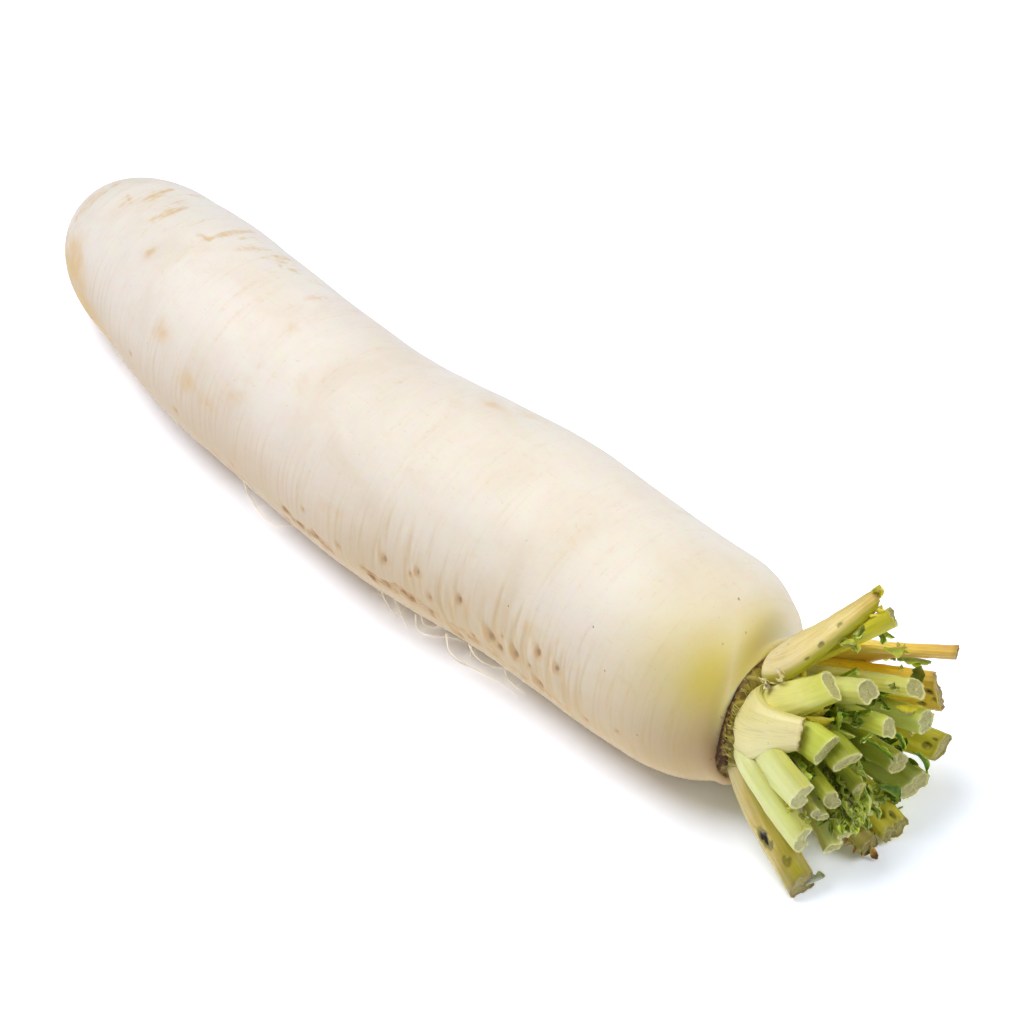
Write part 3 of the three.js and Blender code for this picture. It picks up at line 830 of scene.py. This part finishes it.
def pit_depth(pits, angle, share, half, length):
    """How deep each point of a stalk lies in one of its rotten pits, in mm."""
    depth = np.zeros(np.broadcast(angle, share).shape)
    for at, degrees, size, deep in pits:
        round_it = np.radians(turn_gap(np.degrees(angle), degrees)) * half
        along_it = (share - at) * length
        depth = np.maximum(depth, deep * bell(np.hypot(round_it, along_it / 1.4), size))
    return depth


def stalk_skin(number, line, look):
    """A leaf stalk: ribbed, channelled on the side that faces the heart, and cut off at its end."""
    middles, ahead, across, up, sizes, share = line
    angle = 2 * np.pi * np.arange(STALK_SIDES)[None, :] / STALK_SIDES
    cosine, sine = np.cos(angle), np.sin(angle)
    clasped = max(np.linalg.norm(from_crown(middles[0])), TIGHTEST_CLASP)
    half, side, lift = stalk_section(angle, share, sizes, look, clasped)
    rib_start, rib_wave, twist = np.random.default_rng(100 + number).uniform(0, 6.28, 3)
    ribs = np.cos(15 * angle + rib_start + 0.9 * np.sin(4 * share + rib_wave))
    swell = 1 + (0.015 * ribs + 0.02 * np.sin(9 * share + 2 * angle + twist)) * ease(share, 0, 0.1)
    rings = middles[:, None] + across[:, None] * (side * swell)[..., None]
    rings = rings + up[:, None] * (lift * swell)[..., None]
    pit = pit_depth(look["pits"], angle, share, half, np.linalg.norm(middles[-1] - middles[0]))
    pit = pit * (1 + 0.9 * wander(rings, 1.1, number))
    bumps = 0.2 * wander(rings, 3, number) - 1.1 * pit
    rings = rings + bumps[..., None] * unit(rings - middles[:, None])
    slant = side * look["lean"][0] + lift * look["lean"][1]
    bite = look["ragged"] * (wander(rings, 1.6, 50 + number) + 0.6 * wander(rings, 0.6, 70 + number))
    rings = rings + ahead[:, None] * (slant * ease(share, 0.6, 1) + bite * ease(share, 0.95, 1))[..., None]
    grain = np.stack(np.broadcast_arrays(cosine, sine, share * gaps(middles).sum() / 10), axis=-1)
    values = {
        "along": share, "cap": 0, "radial": 1, "inner": np.maximum(-sine, 0), "pit": pit,
        "edge": look["edge"] * bell(np.abs(cosine) - 1, 0.04 + 0.08 * look["edge"]),
    }
    values = {name: np.broadcast_to(value, side.shape) for name, value in values.items()}
    return capped(rings, ahead[-1], {"grain": grain + 7.3 * number, **values}, number)


def capped(rings, ahead, values, number):
    """The skin with the stalk's cut face added: sunk inside a lip, and rough."""
    rim = rings[-1]
    middle = rim.mean(axis=0)
    caps = []
    for share in CAP_SHARES:
        flat = middle + (rim - middle) * share
        sink = 0.45 * ease(1 - share, 0, 0.16) - 0.2 * ease(1 - share, 0.4, 1)
        rough = 0.4 * wander(flat, 1.3, 30 + number) + 0.25 * wander(flat, 0.6, number)
        caps.append(flat - ahead * (sink + rough * ease(1 - share, 0, 0.1))[..., None])
    shares = np.array(CAP_SHARES)[:, None]
    shrink = {"radial": shares, "grain": np.hstack([shares, shares, np.ones_like(shares)])[:, None]}
    for name, value in values.items():
        last = value[-1:].repeat(len(caps), axis=0) * shrink.get(name, 1)
        if name == "cap":
            last = last + ease(1 - shares, 0, 0.03)
        values[name] = np.concatenate([value, last])
    return skin(np.concatenate([rings, caps]), **values)


def stalk_finish(tone):
    """Smooth waxy stalk with fine lengthwise lines, and a fibrous cut face with a rim."""
    _, base_tone, middle_tone, end_tone, face_tone, rim_tone = TONES[tone]
    f = Finish(f"stalk_{tone}", roughness=0.36, depth=0.5, scatter=(1, 0.9, 0.3))
    grain = f.named("grain", "Vector")
    lines = f.noise(f.scaled(grain, 9, 9, 0.9), 1, 3, 0.6, 0.2)
    threads = f.noise(f.scaled(grain, 24, 24, 1.1), 1, 3, 0.6)
    pith = f.cells(grain, 6)
    drift = f.plus("along", f.swing(f.noise(f.scaled(grain, 1, 1, 1.6), 1, 3), 0.5))
    f.base = f.mix(f.step(drift, 0.05, 0.5), base_tone, middle_tone)
    f.stain(end_tone, drift, 0.5, 1.0)
    f.stain(middle_tone, lines, 0.45, 0.7, 0.4)
    f.stain(end_tone, lines, 0.5, 0.3, 0.45)
    f.stain(rim_tone, f.noise(f.scaled(grain, 5, 5, 14), 1, 4), 0.66, 0.74, 0.5)
    f.stain(rim_tone, "along", 0.95, 1.0, 0.5)
    f.coat(base_tone, "inner", 0.25)
    f.coat("#b2ad14", "edge", 0.45)
    f.stain(rim_tone, threads, 0.52, 0.68, 0.28)
    f.stain("#7c7418", "pit", 0.1, 0.3, 0.8)
    f.stain("#33240f", "pit", 0.4, 0.8)
    side = f.base
    f.base = f.mix(f.step(f.noise(grain, 2.5, 3), 0.35, 0.65), face_tone, rim_tone)
    f.stain("#77752f", f.noise(grain, 6, 4), 0.5, 0.64, 0.8)
    f.stain("#4d4c18", pith, 0.2, 0.06, 0.7)
    f.coat("#8e8638", 0.4)
    # Pale flecks on the cut face: painted highlights for the glint of its wet tissue.
    f.stain("#e2dda2", f.noise(grain, 9, 4), 0.53, 0.62, 0.75)
    f.coat(rim_tone, f.times(f.step("radial", 0.82, 0.9), f.step("radial", 1.0, 0.95)), 0.7)
    f.base = f.mix("cap", side, f.base)
    height = f.plus(f.times(f.plus(lines, threads), 0.5), f.times(f.times("cap", pith), 1.6))
    return f.finish(height, bump=0.4, reach=0.25, roughness=f.step("cap", 0, 1, 0.36, 0.6))


def make_stalks():
    finishes = {tone: stalk_finish(tone) for tone in TONES}
    for number, look in looks.items():
        tone = look["tone"]
        node = f"leaf_stalk_{number:02d}"
        stalk = stalk_skin(number, stalk_lines[number], look)
        make_piece(f"stalk_{number:02d}", [stalk], finishes[tone], [node])


looks = {number: {**PLAIN_STALK, **look} for number, look in enumerate(STALKS, 1)}
stalk_lines = {number: stalk_line(number, look) for number, look in looks.items()}


# ---- leaf blades

# Points along a blade and along a small one, and across a blade's face.
BLADE_STEPS = 34
LEAFLET_STEPS = 22
BLADE_SIDE = 11

# The forms of blades: how thick they are and how high their rib, in mm, how far they curl across, and
# how their margins ripple and are torn.
SCRAP_FORM = dict(ripple=0.6, teeth=0.16, pace=1.1)
TUFT_FORM = dict(thick=0.25, curl=1.7, ripple=0.5, teeth=0.3, rib=0.12)
SCALE_FORM = dict(thick=0.5, curl=0.6, ripple=0.15, teeth=0.2, rib=0.1)
MIDRIB_FORM = dict(thick=1.1, curl=1.4, ripple=0, teeth=0.05)
LOBE_FORM = dict(thick=0.35, curl=2, ripple=0.9, teeth=0.25, rib=0.4, pace=1.6)
FILLER_FORM = dict(thick=0.35, curl=2.2, ripple=0.7, teeth=0.25, rib=0.5, pace=1.2)

# Colours of a torn blade: its face, its darker patches and its dried margin.
LEAF_TONES = {
    "lime": ("#bfc244", "#93a030", "#d8c660"),
    "yellow": ("#e6d83c", "#c8bb2c", "#ece08a"),
    "olive": ("#8f9136", "#66702a", "#a89a48"),
    "leaf_green": ("#93a424", "#667e12", "#bcc24c"),
    "dark_green": ("#5f7e12", "#41600a", "#9aac34"),
    "withered": ("#c39a4c", "#8a6130", "#a87a3c"),
    "heart": ("#adb840", "#6c8218", "#e6e796"),
    "scale": ("#9c8c30", "#645014", "#c2b250"),
    "paper": ("#efe1b0", "#d3bd7c", "#f6eed0"),
    "film": ("#b4b8a2", "#7f8468", "#d4d6c0"),
}


def bent(start, bend, end, count=BLADE_STEPS):
    """Points on a curve that leaves its start towards a bend and arrives at its end from there."""
    share = np.linspace(0, 1, count)[:, None]
    return start * (1 - share) ** 2 + bend * 2 * share * (1 - share) + end * share ** 2


def blade(points, outward, half, seed, thick=0.3, curl=0.9, ripple=0.4, teeth=0.3, rib=0.2, pace=1.8):
    """A thin torn blade along a line: curled across, rippled at its margins, ribbed down its middle."""
    ahead = unit(np.gradient(points, axis=0))
    up = unit(outward - dot(outward, ahead) * ahead)[:, None]
    side = np.cross(up[:, 0], ahead)[:, None]
    share = np.linspace(0, 1, len(points))[:, None]
    reach = np.linspace(-1, 1, BLADE_SIDE)[None, :]
    torn = [wander(points, 1.4, seed + edge) + 0.5 * wander(points, 0.5, seed + edge) for edge in (0, 7)]
    wide = half[:, None] * (1 + teeth * np.where(reach < 0, torn[0][:, None], torn[1][:, None]))
    travelled = share * gaps(points).sum()
    frill = ripple * reach ** 2 * np.sin(pace * travelled + seed + 2 * np.sign(reach))
    lift = frill - wide * (1 - np.cos(curl * reach)) / curl
    across = (wide * np.sin(curl * reach) / curl)[..., None] * side
    body = thick * (0.5 - 0.3 * np.abs(reach)) + rib * bell(reach, 0.16) * (1 - 0.5 * share)
    upper = points[:, None] + across + (lift + body)[..., None] * up
    lower = points[:, None] + across + (lift - body)[..., None] * up
    both = np.concatenate([reach, reach[:, ::-1]], axis=1)
    rings = np.concatenate([upper, lower[:, ::-1]], axis=1)
    return skin(rings, reach=np.abs(both), rib=bell(both, 0.16))


def leaf_shape(count, blunt=0.45):
    """Half widths of a blade along it, as shares: widest past its middle and narrow at both ends."""
    share = np.linspace(0.02, 0.98, count)
    return np.sin(np.pi * share ** 1.15) ** blunt


def leaf_finish(tone):
    """A thin leaf: patchy green, veined, and dried along its torn margin."""
    face, patch, margin = LEAF_TONES[tone]
    f = Finish(f"leaf_{tone}", roughness=0.55, depth=0.35, scatter=(0.7, 1, 0.2), gloss=0.25)
    place = f.place()
    f.base = f.mix(f.step(f.noise(place, 420, 4), 0.38, 0.66), face, patch)
    f.stain(patch, f.noise(place, 900, 2), 0.52, 0.6, 0.35)
    f.coat(margin, "rib", 0.7)
    f.stain(margin, "reach", 0.8, 1.0, 0.6)
    return f.finish(f.noise(place, 1100, 4), bump=0.5)


# Torn scraps: tone, how wide and how curled, the share of the solid's length that is left, and the
# stalk whose end it hangs on.
SCRAPS = [
    ("yellow", 1.3, 1.2, 1, 1), ("olive", 1.5, 2.2, 1, None), ("lime", 1.3, 1.4, 1, None),
    ("olive", 1.3, 1.5, 1, None), ("olive", 1.4, 1.1, 1, None), ("yellow", 2, 1.8, 1, None),
    ("yellow", 1.9, 2, 1, None), ("dark_green", 1.1, 1.6, 0.8, None), ("dark_green", 1.1, 2, 0.8, None),
    ("dark_green", 1.4, 1.8, 0.7, None), ("leaf_green", 1.4, 1.6, 1, None),
    ("dark_green", 1.2, 1.8, 1, None), ("leaf_green", 1.3, 1.8, 1, None),
    ("dark_green", 1.2, 1.9, 1, None), ("film", 1.5, 2.6, 0.75, 18), ("withered", 1.4, 1.2, 1, 23),
]


def make_scraps(finishes):
    for number, (tone, wide, curl, left, stalk) in enumerate(SCRAPS, 1):
        node = f"leaf_scrap_{number:02d}"
        middles, _, _, up, sizes, share = along_sweep(node, BLADE_STEPS)
        if stalk:
            middles = middles + (stalk_lines[stalk][0][-1] - middles[0]) * (1 - share) ** 2
        middles = middles[0] + (middles - middles[0]) * left
        half = sizes[:, 0].max() * wide * leaf_shape(BLADE_STEPS, 0.8)
        torn = blade(middles, up, half, 300 + number, curl=curl, **SCRAP_FORM)
        make_piece(f"scrap_{number:02d}", [torn], finishes[tone], [node])


# Torn leaflets left along the stalks' margins: stalk, share along it, side, how many, length, tone.
TUFTS = [
    (2, 0.62, -1, 8, 7, "lime"), (2, 0.4, -1, 4, 3, "olive"), (2, 0.7, 1, 7, 6, "leaf_green"),
    (1, 0.9, -1, 4, 5, "yellow"), (1, 0.45, 1, 3, 2.5, "withered"), (1, 0.03, -1, 7, 6, "paper"),
    (3, 0.5, 1, 6, 4, "olive"), (3, 0.6, -1, 5, 4, "lime"), (3, 0.3, 1, 4, 3, "yellow"),
    (4, 0.9, 1, 5, 3.5, "yellow"), (4, 0.7, -1, 3, 3, "lime"), (5, 0.86, -1, 3, 4, "olive"),
    (12, 0.8, 1, 5, 3, "yellow"), (11, 0.7, -1, 4, 4, "dark_green"), (13, 0.5, -1, 6, 4.5, "lime"),
    (14, 0.6, -1, 7, 5, "dark_green"), (14, 0.8, 1, 6, 4, "leaf_green"), (15, 0.6, 1, 5, 4, "dark_green"),
    (16, 0.7, -1, 5, 3, "yellow"), (17, 0.8, 1, 5, 3.5, "lime"), (17, 0.55, 1, 5, 3, "olive"),
    (19, 0.7, 1, 5, 4, "dark_green"), (24, 0.85, 1, 5, 3, "olive"), (24, 0.8, -1, 4, 3, "lime"),
    (23, 0.9, 1, 4, 3, "withered"), (26, 0.7, 1, 4, 3.5, "dark_green"), (18, 0.93, -1, 3, 2.5, "film"),
    (22, 0.6, -1, 4, 3, "leaf_green"), (25, 0.5, 1, 5, 4, "dark_green"), (9, 0.4, -1, 4, 4, "leaf_green"),
    (9, 0.2, 1, 4, 13, "yellow"), (9, 0.32, 1, 4, 10, "yellow"), (10, 0.3, 1, 3, 9, "yellow"),
    (21, 0.5, 1, 4, 3, "leaf_green"), (10, 0.45, 1, 4, 8, "dark_green"), (12, 0.55, -1, 4, 8, "dark_green"),
    (14, 0.75, -1, 5, 8, "dark_green"), (26, 0.6, 1, 6, 6, "heart"), (26, 0.9, -1, 7, 6, "heart"),
    (26, 0.9, 1, 7, 6, "heart"), (25, 0.8, 1, 6, 6, "heart"), (25, 0.6, -1, 6, 6, "heart"),
    (24, 0.75, -1, 5, 7, "dark_green"), (11, 0.4, -1, 3, 8, "dark_green"),
    (15, 0.35, 1, 3, 9, "dark_green"), (20, 0.8, 1, 5, 5, "heart"),
]


def tuft_skins(tuft, seed):
    """Small torn leaflets that fan out from a stalk's margin."""
    number, share, side, count, length, _ = tuft
    middles, ahead, across, up, sizes, _ = stalk_lines[number]
    chance = np.random.default_rng(seed)
    leaflets = []
    for leaflet in range(count):
        step = int(np.clip(share * STALK_RINGS + chance.normal(0, 3), 1, STALK_RINGS - 2))
        out = side * across[step]
        start = middles[step] + 0.9 * sizes[step, 0] * out
        out_gain, ahead_gain = chance.uniform((0.3, -0.2), 1)
        way = unit(out_gain * out + ahead_gain * ahead[step] + chance.normal(0, 0.6) * up[step])
        bend = start + way * length * chance.uniform(0.3, 0.6)
        end = bend + unit(way + chance.normal(0, 0.6, 3)) * length * chance.uniform(0.3, 0.7)
        half = length * chance.uniform(0.16, 0.32) * leaf_shape(LEAFLET_STEPS, 0.7)
        line = bent(start, bend, end, LEAFLET_STEPS)
        leaflets.append(blade(line, up[step], half, seed + 9 * leaflet, **TUFT_FORM))
    return leaflets


def make_tufts(finishes):
    for number, tuft in enumerate(TUFTS, 1):
        skins = tuft_skins(tuft, 700 + 100 * number)
        make_piece(f"leaf_tuft_{number:02d}", skins, finishes[tuft[5]])


# ---- the crown's foot

FIBRES = 20
SCALES = 15
CRUMBS = 52


def scale_skins():
    """Dried stubs of the first leaves, pressed against the crown's foot."""
    chance = np.random.default_rng(62)
    stubs = []
    for number in range(SCALES):
        turn = 122 + 300 * number / SCALES + chance.normal(0, 4)
        start = crown_place(turn, 23.3, -0.8)
        bend = crown_place(turn + chance.normal(0, 3), 24.4, 1.5)
        end = crown_place(turn + chance.normal(0, 8), chance.uniform(21, 22.6), chance.uniform(3.5, 6.5))
        half = chance.uniform(2, 4) * leaf_shape(LEAFLET_STEPS, 0.6)
        line = bent(start, bend, end, LEAFLET_STEPS)
        stubs.append(blade(line, from_crown(start), half, number, **SCALE_FORM))
    return stubs


def fibre_skins():
    """Threads of torn leaf bases that stand round the crown's foot."""
    chance = np.random.default_rng(61)
    threads = []
    for _ in range(FIBRES):
        turn = chance.normal(145, 28)
        start = crown_place(turn, 23.6, -0.6)
        bend = crown_place(turn + chance.normal(1, 2), chance.uniform(24, 24.6), 1)
        end = crown_place(turn + chance.normal(2, 4), chance.uniform(22.6, 24), chance.uniform(1.5, 4.5))
        threads.append(thread(bent(start, bend, end, 14), chance.uniform(0.08, 0.16)))
    return threads


def crumb(middle, size, seed):
    """A lump of soil: a lopsided ball."""
    height = np.linspace(0.15, np.pi - 0.15, 8)[:, None]
    angle = 2 * np.pi * np.arange(11)[None, :] / 11
    level = np.sin(height)
    ball = np.broadcast_arrays(level * np.cos(angle), level * np.sin(angle), np.cos(height))
    ball = np.stack(ball, axis=-1)
    return skin(middle + size * ball * (1 + 0.4 * wander(ball + 5 * seed, 0.8, seed))[..., None])


def crumb_skins():
    """Soil in the crease: a clod on the near side, and crumbs along the rest."""
    chance = np.random.default_rng(63)
    lumps = []
    for number in range(CRUMBS):
        clod = number < CRUMBS // 4
        turn = chance.normal(189, 4) if clod else chance.normal(172, 20)
        size = chance.uniform(0.4, 1.1) if clod else chance.uniform(0.15, 0.4)
        middle = crown_place(turn, chance.uniform(23, 24.2), chance.uniform(-1.2, 0.3))
        lumps.append(crumb(middle, size, number))
    return lumps


def soil_finish():
    f = Finish("soil", roughness=0.95)
    place = f.place()
    f.base = f.mix(f.step(f.noise(place, 900, 4), 0.35, 0.65), "#432b14", "#664727")
    return f.finish(f.noise(place, 2500, 3), bump=0.8, reach=0.2)


def make_crown_foot(finishes):
    make_piece("crown_scales", scale_skins(), finishes["scale"])
    fibre_finish = thread_finish("crown_fibre", "#c8ba60", "#8a7a2c")
    make_piece("crown_fibres", fibre_skins(), fibre_finish)
    make_piece("crown_soil", crumb_skins(), soil_finish())


# ---- the heart of young leaves

HEART_LEAVES = 6
LOBES = 6
FILLERS = 30


def heart_leaf_skins(number):
    """A young leaf: a slim midrib with pairs of crinkled lobes that curl in over the heart."""
    node = f"heart_leaf_{number:02d}"
    middles, ahead, across, up, _, share = along_sweep(node, BLADE_STEPS, ROOTED)
    chance = np.random.default_rng(500 + number)
    parts = [blade(middles, up, 1.1 - 0.5 * share[:, 0], number, **MIDRIB_FORM)]
    for lobe in range(LOBES):
        step = int((0.5 + 0.48 * lobe / (LOBES - 1)) * (BLADE_STEPS - 1))
        for side in (-1, 1):
            length = chance.uniform(5, 9)
            start = middles[step]
            out = side * across[step] + 0.5 * ahead[step] + chance.uniform(-0.3, 0.5) * up[step]
            bend = start + unit(out) * length * 0.6
            end = bend + unit(ahead[step] * 0.9 - 0.6 * up[step] - 0.3 * side * across[step]) * length * 0.6
            half = chance.uniform(1.8, 3) * leaf_shape(LEAFLET_STEPS, 0.6)
            line = bent(start, bend, end, LEAFLET_STEPS)
            seed = 1000 * number + 20 * lobe + side
            parts.append(blade(line, up[step], half, seed, **LOBE_FORM))
    return parts


def filler_skins(number, chance):
    """A young leaf that fills a gap between the stalks: a folded blade with a pale midrib."""
    turn = 137.5 * number
    root = crown_place(turn, chance.uniform(2, 12), 7.5)
    tip = crown_place(turn + chance.normal(0, 12), chance.uniform(9, 27), chance.uniform(22, 38))
    bend = (root + tip) / 2 - 2 * unit(from_crown(tip))
    half = chance.uniform(1.3, 2.6) * leaf_shape(BLADE_STEPS, 0.4)
    return [blade(bent(root, bend, tip), from_crown(tip), half, 40 * number, **FILLER_FORM)]


def make_fillers(finishes):
    chance = np.random.default_rng(64)
    for number in range(FILLERS):
        tone = ("leaf_green", "dark_green", "heart")[number % 3]
        skins = filler_skins(number, chance)
        make_piece(f"young_leaf_{number + 1:02d}", skins, finishes[tone])


def make_heart(finishes):
    for number in range(1, HEART_LEAVES + 1):
        skins = heart_leaf_skins(number)
        node = f"heart_leaf_{number:02d}"
        make_piece(f"heart_{number:02d}", skins, finishes["heart"], [node])


# ---- side rootlets

ROOTLETS = 10
ROOTLET_STEPS = 60
ROOTLET_RADIUS = 0.32
HAIR_STEPS = 20
HAIR_RADIUS = 0.1
THREAD_SIDES = 7


def thread(points, radius):
    """A thin round thread along a line, thinner towards its end."""
    ahead = unit(np.gradient(points, axis=0))
    across = unit(np.cross(ahead, Z + 0.01 * X))
    up = np.cross(across, ahead)
    angle = 2 * np.pi * np.arange(THREAD_SIDES) / THREAD_SIDES
    taper = radius * (1 - 0.7 * np.linspace(0, 1, len(points)))[:, None, None]
    ring = np.cos(angle)[None, :, None] * across[:, None] + np.sin(angle)[None, :, None] * up[:, None]
    return skin(points[:, None] + taper * ring, along=np.linspace(0, 1, len(points))[:, None])


def rootlet_skins(number):
    """A rootlet that trails on the ground, with finer hairs branching from it."""
    middles = along_sweep(f"rootlet_{number:02d}", ROOTLET_STEPS)[0]
    middles = middles + 0.25 * wander(middles, 3, 40 + number)[:, None] * (X + Y)
    middles[:, 2] = np.maximum(middles[:, 2], 0.25)
    chance = np.random.default_rng(900 + number)
    threads = [thread(middles, ROOTLET_RADIUS)]
    for step in chance.integers(15, ROOTLET_STEPS - 6, 3):
        way = unit(np.append(chance.normal(0, 1, 2), 0))
        start = middles[step]
        end = start + way * chance.uniform(2, 6)
        bend = (start + end) / 2 + np.append(chance.normal(0, 0.8, 2), 0)
        points = bent(start, bend, end, HAIR_STEPS)
        points[:, 2] = np.maximum(points[:, 2], 0.12)
        threads.append(thread(points, HAIR_RADIUS))
    return threads


def thread_finish(name, light, dark, painted_glow=0.0):
    """Thin threads of two colours, with an optional painted glow (emission), though they are no lamp."""
    f = Finish(name)
    place = f.place()
    # Emission in the threads' light colour: a painted glow, not real light.
    f.fill(f.surface, {"Emission Color": light, "Emission Strength": painted_glow})
    f.base = f.mix(f.step(f.noise(place, 500, 3), 0.4, 0.7), light, dark)
    f.coat(light, "along", 0.3)
    return f.finish(f.noise(place, 2500, 2), bump=0.3, reach=0.1)


def make_rootlets():
    # The rootlets get a faint painted glow that keeps them pale in the shade under the root.
    finish = thread_finish("rootlet_skin", "#fff6e2", "#ecd9b4", painted_glow=0.3)
    for number in range(1, ROOTLETS + 1):
        node = f"rootlet_{number:02d}"
        make_piece(f"root_hair_{number:02d}", rootlet_skins(number), finish, [node])


# ---- floor, light and camera

# The camera's turn from the near side and its height, in degrees, its distance from what it looks at,
# its lens, and where what it looks at lies from the middle of the radish's box, in mm.
VIEW_TURN = 47.4
VIEW_HEIGHT = 44
VIEW_DISTANCE = 1052
VIEW_LENS = 108.46
VIEW_AIM = (25.5, 5.7, -16.4)

# The floor's size in metres, and how bright its paper is.
FLOOR_SIZE = 12
PAPER = 1.31

# Each lamp's place, where on the x axis it points, and its size, all in metres, and its watts.
LAMPS = {
    "key": ((-0.35, -0.43, 1.4), 0, 1, 16.8),
    "front_fill": ((0.74, -0.68, 0.97), 0.05, 0.8, 1),
    "side_fill": ((1.1, 0.6, 1.1), 0.1, 1.1, 12),
}


def backdrop_finish():
    """White paper lit brighter than the camera can hold, so that only deep shadows show on it."""
    f = Finish("pale_floor")
    cloud = f.step(f.noise(f.place(), 6, 2), 0.3, 0.7, PAPER, PAPER * 1.02)
    levels = {"Red": cloud, "Green": f.times(cloud, 1.05), "Blue": f.times(cloud, 1.19)}
    paper = f.node("ShaderNodeBsdfDiffuse", {"Color": f.node("ShaderNodeCombineColor", levels)})
    f.tree.links.new(paper, f.tree.nodes["Material Output"].inputs["Surface"])
    return f.material


def make_floor():
    bpy.ops.mesh.primitive_plane_add(size=FLOOR_SIZE)
    floor = bpy.context.object
    floor.name = "floor"
    floor.data.materials.append(backdrop_finish())


def make_light():
    """An even, dim surrounding with three round lamps, which all point at the radish."""
    world = bpy.data.worlds.new("studio")
    world.use_nodes = True
    surrounding = world.node_tree.nodes["Background"].inputs
    surrounding["Color"].default_value = (1, 1, 1, 1)
    surrounding["Strength"].default_value = 0.12
    bpy.context.scene.world = world
    for name, (place, aim_x, size, power) in LAMPS.items():
        light = bpy.data.lights.new(name, "AREA")
        light.shape = "DISK"
        light.size = size
        light.energy = power
        lamp = bpy.data.objects.new(name, light)
        lamp.location = place
        lamp.rotation_euler = (Vector((aim_x, 0, 0)) - lamp.location).to_track_quat("-Z", "Y").to_euler()
        bpy.context.scene.collection.objects.link(lamp)
    bpy.context.scene.view_settings.view_transform = "Standard"


def make_camera():
    """The camera looks at a point near the middle of the radish from the near right, above."""
    low, high = cad_box
    aim = (low + high) / 2 / MM + Vector(VIEW_AIM)
    turn, height = math.radians(VIEW_TURN), math.radians(VIEW_HEIGHT)
    back = Vector((math.sin(turn) * math.cos(height), -math.cos(turn) * math.cos(height), math.sin(height)))
    lens = bpy.data.cameras.new("camera")
    lens.lens = VIEW_LENS
    lens.sensor_width = 36
    camera = bpy.data.objects.new("camera", lens)
    camera.location = (aim + back * VIEW_DISTANCE) * MM
    camera.rotation_euler = (-back).to_track_quat("-Z", "Y").to_euler()
    bpy.context.scene.collection.objects.link(camera)
    bpy.context.scene.camera = camera


# ---- the scene

make_camera()
make_floor()
make_light()
make_piece("root", [root_skin()], root_finish(), ["storage_root"])
make_stalks()
leaf_finishes = {tone: leaf_finish(tone) for tone in LEAF_TONES}
make_scraps(leaf_finishes)
make_tufts(leaf_finishes)
make_crown_foot(leaf_finishes)
make_heart(leaf_finishes)
make_fillers(leaf_finishes)
make_rootlets()
